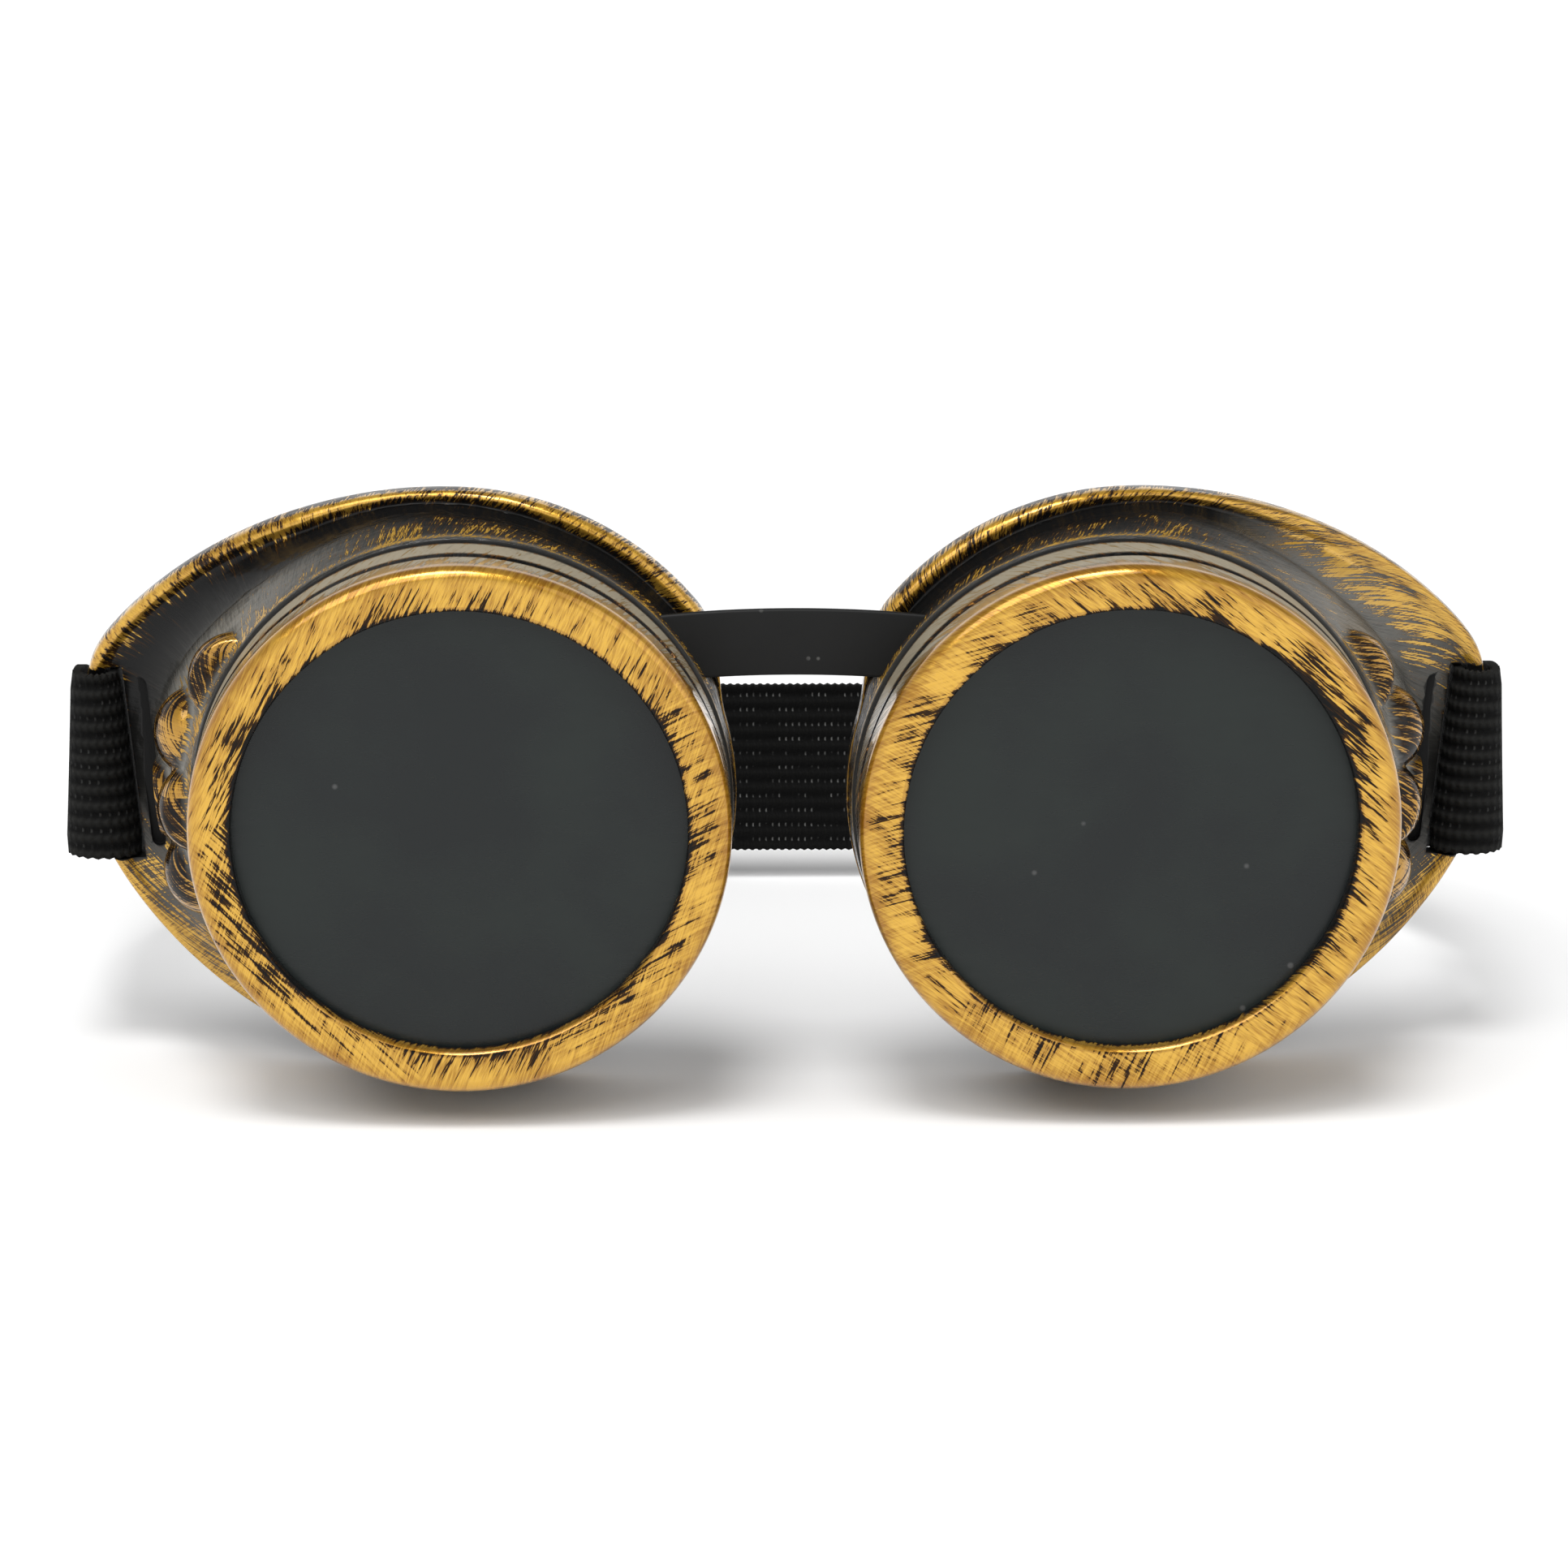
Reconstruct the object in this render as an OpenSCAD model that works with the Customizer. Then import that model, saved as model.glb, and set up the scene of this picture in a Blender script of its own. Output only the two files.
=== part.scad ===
// Round-cup goggles: two eyecups with screw-on lens rings, a flexible nose bridge
// and an elastic head strap with an adjuster.
// The lenses face -Y and the head comes in from +Y. +X is the right of someone who looks
// at the lenses, and the rims and the adjuster stand on Z = 0.
// Depth is counted backwards from the front face of the lens rings.

/* [Lenses] */
// Diameter of the round lenses
lens_d = 50; // [46:0.5:52]
// Thickness of the dark lens
dark_t = 2; // [1.5:0.1:2.5]
// Thickness of the clear cover lens behind it
clear_t = 1.5; // [1:0.1:2]
// Thickness of the gasket behind the lenses
gasket_t = 1; // [0.6:0.1:1.5]
// Width of the lens edge that the ring lip covers
lens_lap = 2; // [1.2:0.1:3]
// Gap round the edge of the lenses
lens_play = 0.2; // [0.1:0.05:0.3]
// Gap in front of and behind the lens stack
seat_gap = 0.1; // [0.05:0.05:0.2]

/* [Lens rings] */
// Thickness of the ring lip in front of the lens
lip_t = 2; // [1.5:0.1:3]
// Wall outside the ring's thread
ring_wall = 1.3; // [1:0.1:2]
// Radius of the ring's front outer edge
ring_round = 1.2; // [0.5:0.1:2]
// Depth of the line turned round the ring
line_d = 6; // [4:0.1:8]
// Width of that line
line_w = 1.2; // [0.4:0.1:1.6]
// How deep that line is cut
line_cut = 0.6; // [0.3:0.1:1]

/* [Screw thread] */
// Length of the threaded neck of a cup
neck_len = 5.7; // [5:0.1:7]
// Wall of the neck
neck_wall = 2.3; // [1.8:0.1:3]
// Rise of the thread for each turn
pitch = 2.4; // [2.2:0.1:2.6]
// Height of a thread ridge
ridge_h = 1; // [0.8:0.05:1.2]
// Width of a ridge at its foot
ridge_w = 1.4; // [1:0.1:1.5]
// Width of a ridge at its crest
crest_w = 0.5; // [0.3:0.1:0.7]
// Radial clearance of the thread
thread_gap = 0.25; // [0.2:0.05:0.4]
// Gap between a tight ring and the cup's shoulder
shoulder_gap = 0.4; // [0.2:0.1:0.8]

/* [Eyecups] */
// Distance between the centres of the cups
cup_pitch = 67.8; // [64:0.2:74]
// Step from the ring's outside up to the cup's shoulder
shoulder_step = 0.3; // [0:0.1:1]
// Thickness of the web between neck and flank
web_t = 3.6; // [3:0.1:5]
// Wall of the flank
flank_wall = 1.8; // [1.4:0.1:2.4]
// Slope of the flank, outwards for each millimetre back
flank_slope = 0.3; // [0.2:0.02:0.4]
// Radius of the face that the rims are curved to
face_r = 200; // [170:5:260]
// Depth of that face between the cups
face_d = 16; // [15.5:0.1:18]
// Reach of the rim past the shoulder, above and below
rim_w = 3.6; // [3:0.1:5]
// Reach of the rim past the shoulder on the nose side
nose_w = 0.4; // [0.2:0.1:1.5]
// Direction in which the rim is cut back for the nose, counted from the temple over the top
nose_turn = 198; // [190:1:202]
// Half the angle over which it is cut back
nose_half = 34; // [30:1:42]
// Reach of the ear past the shoulder on the temple side
ear_w = 12.2; // [12:0.1:14]
// How much larger than the rim's own radius its upper temple curve is
temple_flat = 18; // [15:0.5:20]
// How much larger its lower temple curve is
lower_flat = 12.5; // [12:0.5:15]
// Thickness of the rim behind the face curve
rim_t = 2.6; // [2:0.1:4]
// Width of the rolled lip
lip_w = 2.2; // [1.6:0.1:2.6]
// Rise of the rolled lip
lip_rise = 1.2; // [0.8:0.1:1.3]
// Lead of the flank's foot over the lip
foot_lead = 1.8; // [1.2:0.1:2.4]
// Extra depth of the channel at the upper and lower temple
dish = 3.2; // [1:0.1:4]
// Dip of the channel between flank and lip
channel_dip = 0.6; // [0.3:0.1:0.9]

/* [Vent domes] */
// Radius of the sphere of a dome
dome_r = 4.9; // [4:0.1:5.5]
// Height of a dome above the flank
dome_h = 2.4; // [1.5:0.1:2.8]
// Angle of the first dome above the cup's middle
dome_top = 28; // [24:1:32]
// Depth of the first dome behind the shoulder
dome_front = 3.2; // [2.5:0.1:4.5]
// Angle between two domes of a row
dome_turn = 16.5; // [15:0.5:18]
// Depth between two domes of a row
dome_step = 5; // [4.5:0.1:5.5]
// Angle of the second row below the first
row_turn = 31.5; // [30:0.5:34]
// Depth of the second row behind the first
row_in = 1.8; // [1:0.1:2.5]

/* [Nose bridge] */
// Height of the bridge strip
bridge_h = 7; // [5:0.2:9]
// Thickness of the bridge strip
bridge_t = 0.8; // [0.6:0.1:1]
// Height of the strip's middle line above the lens centres
bridge_up = 15.8; // [13:0.1:17]
// Rise of the strip at its middle
bridge_rise = 0.8; // [0:0.1:2]
// Clearance of the strip in its slot
bridge_play = 0.15; // [0.1:0.05:0.2]
// Depth of the strip's slot behind the shoulder
bridge_in = 0.9; // [0.7:0.1:1]
// Diameter of the pins that hold the strip
pin_d = 2; // [1.4:0.1:2.2]
// Length of those pins
pin_len = 3; // [2.6:0.1:3.2]
// Radial fit of the pins in the cups
pin_fit = 0.05; // [0.02:0.01:0.1]

/* [Head strap] */
// Width of the elastic
strap_w = 20; // [15:0.5:20.5]
// Thickness of the elastic
strap_t = 1.2; // [0.8:0.1:1.4]
// Gap between two layers of the elastic
layer_gap = 0.3; // [0.2:0.1:0.6]
// Place of the strap slot outside the cup's shoulder
slot_out = 8; // [7.6:0.1:8.4]
// Clearance of the elastic in its slot
slot_play = 0.3; // [0.2:0.05:0.4]
// Lean of the strap slot, top outwards
slot_lean = 6; // [0:1:8]
// Lean of the loop's outer leg, top inwards
side_lean = 3; // [0:0.5:3]
// Slack of the loop round the ear
loop_slack = 0.6; // [0.4:0.1:1.5]
// Straight stretch of the elastic behind the ear
side_len = 22; // [20:1:40]
// Radius of the elastic's turn to the back
corner_r = 42; // [36:1:42]
// Length of the sewn tail behind the right ear
tail_len = 25; // [22:1:30]
// Width of the groove beside the strap slot
trough_w = 1.5; // [1:0.1:1.8]
// Length of that groove
trough_len = 18; // [12:0.5:20]
// Depth of that groove
trough_cut = 1; // [0.5:0.1:1.2]

/* [Adjuster] */
// Length of the adjuster along the strap
slider_len = 12; // [10:0.5:14]
// Height of its rails above and below the strap
rail_h = 3.2; // [2:0.1:4]
// Thickness of its end bars
end_bar_t = 1.8; // [1.4:0.1:2.4]
// Width of its end bars
end_bar_w = 2.2; // [1.6:0.1:3]
// Diameter of its middle bar
mid_bar_d = 2; // [1.6:0.1:2.6]
// Clearance of the strap in the adjuster
slide_play = 0.3; // [0.2:0.05:0.4]
// Place of the adjuster, left of the middle of the back
slider_left = 17; // [14:0.5:18]
// Length of the tail sewn back at the adjuster
hem_len = 16; // [15:0.5:18]

/* [Stitching] */
// Diameter of the thread
thread_d = 0.6; // [0.4:0.05:0.8]
// How far the stitches stand out of the elastic
stitch_proud = 0.25; // [0.1:0.05:0.3]
// Distance between two stitches of a row
stitch_step = 2.4; // [1.6:0.1:2.6]
// Stitches in a row
stitch_count = 7; // [5:1:7]
// Distance between the two rows
row_step = 4; // [3:0.1:4.5]

/* [Hidden] */
$fn = 72;

left = -1;
right = 1;
gold = "#c3923f";
black = "#1c1d1f";
charcoal = "#34373a";
smoke = "#3a3f42";
pale = "#cfd6d8";
// Overlap of solids that are joined and of cuts that pass a face
eps = 0.5;

// Depths of the stack, from the ring's front face
dark_at = lip_t + seat_gap;
clear_at = dark_at + dark_t;
gasket_at = clear_at + clear_t;
neck_at = gasket_at + gasket_t + seat_gap;
shoulder_at = neck_at + neck_len;
ring_len = shoulder_at - shoulder_gap;
web_at = shoulder_at + web_t;

// Radii of the ring, the thread and the cup
lens_r = lens_d / 2;
hole_r = lens_r - lens_lap;
pocket_r = lens_r + lens_play;
ring_root_r = pocket_r + ridge_h;
ring_r = ring_root_r + ring_wall;
neck_r = pocket_r - thread_gap;
neck_crest_r = ring_root_r - thread_gap;
bore_r = neck_r - neck_wall;
shoulder_r = ring_r + shoulder_step;
edge = 0.3;

// Rim of a cup, round its axis
cup_x = cup_pitch / 2;
rim_r = shoulder_r + rim_w;
ear_u = shoulder_r + ear_w;
nose_blend = 24;
rim_corner = 40;
axis_z = rim_r;

// Thread: the ring's ridge lies half a pitch from the neck's
thread_from = neck_at + ridge_w / 2 + edge;
thread_turns = (shoulder_at - ridge_w / 2 - edge - thread_from) / pitch;
ring_thread_from = thread_from - pitch / 2;
ring_thread_skip = (ridge_w / 2 + eps) / pitch;

// Nose bridge
bridge_at = shoulder_at + bridge_in + bridge_play;
pin_ring_r = neck_r + pin_d / 2;
pin_u = -sqrt(pow(pin_ring_r, 2) - pow(bridge_up, 2));
bridge_end_r = bore_r + 1.3;

// Head strap
layer = strap_t + layer_gap;
slot_u = shoulder_r + slot_out;
main_u = ear_u + strap_t / 2 + loop_slack;
slot_x = cup_x + slot_u;
side_x = cup_x + main_u;
loop_r = (side_x - slot_x) / 2;
loop_at = face_d + sag(cup_x + ear_u) - edge;
slot_run = 4;
merge_run = 14;
return_at = loop_at + slot_run + layer_gap;
drop_power = 0.7;
corner_at = loop_at + side_len;
back_at = corner_at + corner_r;
run_len = side_len + corner_r * PI / 2;
slider_h = strap_w + 2 * (rail_h + slide_play);
back_z = slider_h / 2;

// Adjuster
slider_x = -slider_left;
wrap_r = mid_bar_d / 2 + layer_gap + strap_t / 2;
mid_bar_at = back_at - layer - wrap_r;
hem_bend = 7;
end_bar_at = back_at + strap_t / 2 + slide_play;
mid_y = (end_bar_at + end_bar_t) / 2;

function smooth(p) = let (q = min(max(p, 0), 1)) q * q * (3 - 2 * q);
function soft_min(a, b) = pow(pow(a, -rim_corner) + pow(b, -rim_corner), -1 / rim_corner);

// Depth by which the face falls back at a distance from the middle plane
function sag(x) = face_r - sqrt(face_r * face_r - x * x);
function face_at(r, t) = face_d + sag(cup_x + r * cos(t));

// Outline of the rim in polar form: t = 0 points to the temple, 90 up, 180 to the nose
function temple_curve(t) = lower_flat + (temple_flat - lower_flat) * smooth(sin(t) * 2 + 0.5);
function temple_reach(t) =
    let (flat = temple_curve(t))
    sqrt(pow(rim_r + flat, 2) - pow(flat * cos(t), 2)) - flat * abs(sin(t));
function ear_reach(t) = ear_u / max(cos(t), 0.1);
function nose_cut(t) = smooth((nose_half + nose_blend - abs(t - nose_turn)) / nose_blend);
function rim_at(t) = cos(t) > 0
    ? soft_min(temple_reach(t), ear_reach(t))
    : rim_r - (rim_w - nose_w) * nose_cut(t);

// Section of the cup behind its neck at angle t, as [radius, depth] points
function cup_section(t) =
    let (
        rim = rim_at(t),
        rim_d = face_at(rim, t),
        band = rim - shoulder_r,
        foot_d = rim_d - foot_lead - (cos(t) > 0 ? dish * pow(sin(2 * t), 2) : 0),
        foot_r = shoulder_r + min(flank_slope * (foot_d - shoulder_at), band / 2),
        lip_in = max(rim - lip_w, foot_r + band / 4),
        rise = lip_rise * (rim - lip_in) / lip_w,
        channel_d = (foot_d + rim_d) / 2 + channel_dip * (lip_in - foot_r) / (rim - foot_r),
        inner_r = foot_r - flank_wall
    )
    [
        [bore_r - eps, shoulder_at],
        [shoulder_r - edge, shoulder_at],
        [shoulder_r, shoulder_at + edge],
        [foot_r, foot_d],
        [(foot_r + lip_in) / 2, channel_d],
        [lip_in, rim_d - 0.2 * rise],
        [(lip_in + rim) / 2, rim_d - rise],
        [rim - 0.1 * (rim - lip_in), rim_d - 0.55 * rise],
        [rim, rim_d + 0.2 * rise],
        [rim, rim_d + rim_t - rise / 2],
        [rim - 0.4 * (rim - lip_in), face_at(rim, t) + rim_t],
        [inner_r, face_at(inner_r, t) + rim_t],
        [shoulder_r - flank_wall, web_at],
        [bore_r - eps, web_at]
    ];

// Depths run along local Z, square to the lens
module on_axis(side) {
    translate([side * cup_x, -mid_y, axis_z])
        rotate([-90, 0, 0])
            children();
}

// Local X points to the temple, Y backwards and Z up
module in_cup(side) {
    translate([side * cup_x, -mid_y, axis_z])
        mirror([side < 0 ? 1 : 0, 0, 0])
            children();
}

// Closed skin over rings of points that all have the same count
module skin(rings, closed) {
    n = len(rings);
    m = len(rings[0]);
    last = closed ? n - 1 : n - 2;
    walls = [
        for (i = [0 : last], j = [0 : m - 1], half = [0, 1])
            let (a = i * m, b = ((i + 1) % n) * m, k = (j + 1) % m)
            half == 0 ? [a + j, b + j, b + k] : [a + j, b + k, a + k]
    ];
    caps = closed ? [] : [
        for (j = [1 : m - 2], end = [0, 1])
            let (e = (n - 1) * m)
            end == 0 ? [0, j, j + 1] : [e, e + j + 1, e + j]
    ];
    polyhedron([for (ring = rings, p = ring) p], concat(walls, caps));
}

// Ridge of a screw thread round local Z
module ridge(foot_r, crest_r, from, turns) {
    steps = ceil(turns * 30);
    inner_w = foot_r < crest_r ? ridge_w : crest_w;
    outer_w = foot_r < crest_r ? crest_w : ridge_w;
    inner_r = min(foot_r, crest_r);
    outer_r = max(foot_r, crest_r);
    section = [
        [inner_r, inner_w / 2],
        [outer_r, outer_w / 2],
        [outer_r, -outer_w / 2],
        [inner_r, -inner_w / 2]
    ];
    skin([
        for (i = [0 : steps])
            let (turn = turns * i / steps)
            [for (p = section)
                [p[0] * cos(360 * turn), p[0] * sin(360 * turn), from + pitch * turn + p[1]]]
    ], false);
}

module disc(radius, from, thick) {
    translate([0, 0, from])
        cylinder(r = radius, h = thick);
}

// Shell of a cup behind its neck
module cup_shell() {
    stations = 72;
    skin([
        for (i = [0 : stations - 1])
            let (t = 360 * i / stations)
            [for (p = cup_section(t)) [p[0] * cos(t), p[1], p[0] * sin(t)]]
    ], true);
}

// Round blister on the flank, cut off inside the wall and at the shoulder
module dome(angle, behind) {
    sink = dome_r - dome_h;
    back = shoulder_at + behind;
    inside = shoulder_r - flank_wall / 2;
    reach = 2 * dome_r + behind;
    difference() {
        rotate([0, -angle, 0])
            translate([shoulder_r + flank_slope * behind - sink, back, 0])
                sphere(r = dome_r);
        translate([0, shoulder_at, 0])
            rotate([-90, 0, 0])
                cylinder(r1 = inside, r2 = inside + flank_slope * reach, h = reach);
        translate([0, shoulder_at - 2 * dome_r, -2 * ring_r])
            cube([2 * ring_r, 2 * dome_r, 4 * ring_r]);
    }
}

module domes() {
    for (k = [0 : 2])
        dome(dome_top - k * dome_turn, dome_front + k * dome_step);
    for (k = [0, 1])
        dome(dome_top - row_turn - k * dome_turn, dome_front + row_in + k * dome_step);
}

// Slot and groove of the ear and the loop's bed on its bar, leaning about the slot's middle
module ear_cuts() {
    slot_w = strap_t + 2 * slot_play;
    slot_h = strap_w + 2 * slot_play;
    rib = 3 * edge;
    trough_u = slot_u - slot_w / 2 - rib - trough_w;
    trough_deep = face_at(trough_u, 0) + channel_dip + trough_cut - shoulder_at;
    translate([slot_u, shoulder_at, 0])
        rotate([0, slot_lean, 0]) {
            translate([-slot_w / 2, 0, -slot_h / 2])
                cube([slot_w, 2 * face_d, slot_h]);
            translate([trough_u - slot_u, 0, -trough_len / 2])
                cube([trough_w, trough_deep, trough_len]);
            translate([0, 0, -slot_h / 2])
                cube([ear_w, loop_at - slot_play - shoulder_at, slot_h]);
        }
}

// Slot for the end of the nose bridge, with room for its rise, stopped short of the neck's bore
module bridge_slot() {
    slot_h = bridge_h + 2 * bridge_play + bridge_rise / 2;
    difference() {
        translate([-rim_r - eps, bridge_at - bridge_play, bridge_up - bridge_h / 2 - bridge_play])
            cube([rim_r, bridge_t + 2 * bridge_play, slot_h]);
        rotate([-90, 0, 0])
            disc(bridge_end_r - bridge_play, 0, 2 * bridge_at);
    }
}

module cup(side) {
    color(gold)
        difference() {
            union() {
                in_cup(side)
                    difference() {
                        cup_shell();
                        ear_cuts();
                    }
                in_cup(side)
                    domes();
                on_axis(side)
                    rotate_extrude()
                        polygon([
                            [bore_r - eps, neck_at],
                            [neck_r - edge, neck_at],
                            [neck_r, neck_at + edge],
                            [neck_r, shoulder_at + 2 * eps],
                            [bore_r - eps, shoulder_at + 2 * eps]
                        ]);
                on_axis(side)
                    ridge(neck_r - eps, neck_crest_r, thread_from, thread_turns);
            }
            on_axis(side)
                disc(bore_r, 0, web_at + eps);
            in_cup(side)
                bridge_slot();
            in_cup(side)
                bridge_pin_at(pin_fit, pin_len + pin_fit);
        }
}

module bridge_pin_at(grow, length) {
    translate([pin_u, shoulder_at - (grow > 0 ? eps : 0), bridge_up])
        rotate([-90, 0, 0])
            cylinder(r = pin_d / 2 + grow, h = length + (grow > 0 ? eps : 0), $fn = 32);
}

// Screw-on ring with a rounded front, a turned line and an inside thread
module ring(side) {
    round_steps = 6;
    color(gold)
        on_axis(side) {
            rotate_extrude()
                polygon(concat(
                    [
                        [pocket_r, lip_t],
                        [hole_r, lip_t],
                        [hole_r, edge],
                        [hole_r + edge, 0]
                    ],
                    [for (i = [0 : round_steps])
                        let (a = 90 * i / round_steps)
                        [
                            ring_r - ring_round + ring_round * sin(a),
                            ring_round - ring_round * cos(a)
                        ]],
                    [
                        [ring_r, line_d - line_w / 2],
                        [ring_r - line_cut, line_d],
                        [ring_r, line_d + line_w / 2],
                        [ring_r, ring_len - edge],
                        [ring_r - edge, ring_len],
                        [ring_root_r, ring_len],
                        [ring_root_r, neck_at - edge],
                        [pocket_r, neck_at - edge]
                    ]
                ));
            rotate([0, 0, 360 * ring_thread_skip])
                ridge(
                    ring_root_r + eps, pocket_r,
                    ring_thread_from + pitch * ring_thread_skip,
                    (ring_len - ridge_w / 2 - edge - ring_thread_from) / pitch - ring_thread_skip
                );
        }
}

module dark_lens(side) {
    color(smoke)
        on_axis(side)
            disc(lens_r, dark_at, dark_t);
}

module clear_lens(side) {
    color(pale)
        on_axis(side)
            disc(lens_r, clear_at, clear_t);
}

module gasket(side) {
    color(black)
        on_axis(side)
            difference() {
                disc(lens_r, gasket_at, gasket_t);
                disc(bore_r, gasket_at - eps, gasket_t + 2 * eps);
            }
}

// Flexible strip, arched a little, with a pinned end in each cup
module nose_bridge() {
    end_x = cup_x + pin_u + pin_d;
    steps = 12;
    arch = [for (i = [0 : steps])
        let (x = end_x * (2 * i / steps - 1))
        [x, bridge_up + bridge_rise * (1 - pow(x / end_x, 2))]];
    low = [for (p = arch) [p[0], p[1] - bridge_h / 2]];
    high = [for (i = [steps : -1 : 0]) [arch[i][0], arch[i][1] + bridge_h / 2]];
    color(charcoal)
        difference() {
            translate([0, bridge_at + bridge_t - mid_y, axis_z])
                rotate([90, 0, 0])
                    linear_extrude(bridge_t)
                        polygon(concat(low, high));
            for (side = [left, right]) {
                on_axis(side)
                    disc(bridge_end_r, 0, 2 * bridge_at);
                in_cup(side)
                    bridge_pin_at(pin_fit * 3, pin_len);
            }
        }
}

module bridge_pin(side) {
    color(charcoal)
        in_cup(side)
            bridge_pin_at(0, pin_len);
}

// A strap station is [x, depth, progress, lean]: progress is 0 at the ear and 1 at the back
function progress(depth) = (depth - loop_at) / run_len;
function side_tilt(depth) = -side_lean * (1 - smooth((depth - loop_at) / side_len));

// Elastic inside an ear slot, then round the bar in front of it, where it comes upright
function loop_stations() = concat(
    [for (i = [0 : 2])
        let (depth = loop_at + slot_run * (1 - i / 2))
        [slot_x, depth, progress(depth), slot_lean]],
    [for (i = [1 : 9])
        let (a = 180 - 20 * i)
        [
            (slot_x + side_x) / 2 + loop_r * cos(a),
            loop_at - loop_r * sin(a),
            0,
            slot_lean * (1 - i / 9) - side_lean * i / 9
        ]]
);

// Elastic along one side and round one corner, an offset inwards of the outer layer
function side_stations(inset, from) = concat(
    [for (i = [1 : 6])
        let (depth = from + (corner_at - from) * i / 6)
        [side_x - inset, depth, progress(depth), side_tilt(depth)]],
    [for (i = [1 : 12])
        let (a = 7.5 * i)
        [
            side_x - corner_r + (corner_r - inset) * cos(a),
            corner_at + (corner_r - inset) * sin(a),
            (side_len + corner_r * a * PI / 180) / run_len,
            0
        ]]
);

// Elastic that leaves an ear slot and comes to lie against the outer layer
function merge_stations() = [
    for (i = [1 : 6])
        let (depth = loop_at + slot_run + (merge_run - slot_run) * i / 6)
        [
            slot_x + (side_x - layer - slot_x) * smooth(i / 6),
            depth,
            progress(depth),
            slot_lean * (1 - smooth(i / 6)) + side_tilt(depth) * smooth(i / 6)
        ]
];

function mirrored(stations) = [for (s = stations) [-s[0], s[1], s[2], s[3]]];
function reversed(list) = [for (i = [len(list) - 1 : -1 : 0]) list[i]];

half_band = concat(loop_stations(), side_stations(0, loop_at));
band_stations = concat(
    [for (depth = [loop_at + tail_len, (2 * loop_at + tail_len + merge_run) / 2])
        [side_x - layer, depth, progress(depth), side_tilt(depth)]],
    reversed(merge_stations()),
    half_band,
    [[0, back_at, 1, 0]],
    mirrored(reversed(half_band))
);
return_stations = concat(
    mirrored(concat(
        [[slot_x, return_at, progress(return_at), slot_lean]],
        merge_stations(),
        side_stations(layer, loop_at + merge_run)
    )),
    [[slider_x, back_at - layer, 1, 0]],
    [for (i = [1 : 8])
        let (a = 90 - 22.5 * i)
        [slider_x + wrap_r * cos(a), mid_bar_at + wrap_r * sin(a), 1, 0]],
    [for (i = [1 : 6])
        [
            slider_x - hem_bend * i / 6,
            mid_bar_at - wrap_r + (2 * wrap_r - layer) * smooth(i / 6),
            1,
            0
        ]],
    [[slider_x - hem_len, back_at - 2 * layer, 1, 0]]
);

// Height of the strap's middle: it drops fast behind the ear and runs level at the back
function strap_z(p) =
    let (way = pow(min(max(p, 0), 1), drop_power))
    axis_z + (back_z - axis_z) * pow(sin(90 * way), 2);

// Four corners of the elastic at station i
function strap_ring(stations, i) =
    let (
        s = stations[i],
        ahead = stations[min(i + 1, len(stations) - 1)],
        behind = stations[max(i - 1, 0)],
        run = [ahead[0] - behind[0], ahead[1] - behind[1]],
        across = [-run[1], run[0]] / norm(run) * strap_t / 2,
        up = [sign(s[0]) * sin(s[3]), 0, cos(s[3])] * strap_w / 2,
        middle = [s[0], s[1] - mid_y, strap_z(s[2])],
        out = [across[0], across[1], 0]
    )
    [middle + up + out, middle + up - out, middle - up - out, middle - up + out];

module ribbon(stations) {
    skin([for (i = [0 : len(stations) - 1]) strap_ring(stations, i)], false);
}

// Elastic from its sewn right end round the back to the left ear slot
module strap_band() {
    color(black)
        ribbon(band_stations);
}

// The same elastic from the left ear slot back to the adjuster and round its middle bar
module strap_return() {
    color(black)
        ribbon(return_stations);
}

// Frame that the strap runs through, with a middle bar that holds the doubled end
module strap_slider() {
    rail_from = mid_bar_at - mid_bar_d / 2 - edge;
    rail_depth = end_bar_at + end_bar_t - rail_from;
    color(charcoal)
        translate([slider_x, -mid_y, 0]) {
            for (z = [0, slider_h - rail_h])
                translate([-slider_len / 2, rail_from, z])
                    cube([slider_len, rail_depth, rail_h]);
            for (x = [-slider_len / 2, slider_len / 2 - end_bar_w])
                translate([x, end_bar_at, 0])
                    cube([end_bar_w, end_bar_t, slider_h]);
            translate([0, mid_bar_at, 0])
                cylinder(d = mid_bar_d, h = slider_h, $fn = 32);
        }
}

// Rows of stitches through both layers of the sewn right tail
module loop_stitching() {
    span = layer + strap_t + 2 * stitch_proud;
    color(black)
        for (row = [0, 1], k = [0 : stitch_count - 1]) {
            depth = loop_at + tail_len - thread_d * 3 - row * row_step;
            p = progress(depth);
            up = (k - (stitch_count - 1) / 2) * stitch_step;
            translate([side_x - layer - strap_t / 2 - stitch_proud, depth - mid_y, strap_z(p) + up])
                rotate([0, 90, 0])
                    cylinder(d = thread_d, h = span, $fn = 16);
        }
}

// Rows of stitches through the end that is folded round the adjuster's middle bar
module slider_stitching() {
    span = layer + strap_t + stitch_proud + layer_gap / 3;
    color(black)
        for (row = [0, 1], k = [0 : stitch_count - 1])
            translate([
                slider_x - hem_len + thread_d * 3 + row * row_step,
                back_at - 2 * layer - strap_t / 2 - stitch_proud - mid_y,
                back_z + (k - (stitch_count - 1) / 2) * stitch_step
            ])
                rotate([-90, 0, 0])
                    cylinder(d = thread_d, h = span, $fn = 16);
}

cup(left);  // left_cup
cup(right);  // right_cup
ring(left);  // left_ring
ring(right);  // right_ring
dark_lens(left);  // left_dark_lens
dark_lens(right);  // right_dark_lens
clear_lens(left);  // left_clear_lens
clear_lens(right);  // right_clear_lens
gasket(left);  // left_gasket
gasket(right);  // right_gasket
nose_bridge();
bridge_pin(left);  // left_bridge_pin
bridge_pin(right);  // right_bridge_pin
strap_band();
strap_return();
strap_slider();
loop_stitching();
slider_stitching();
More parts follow.
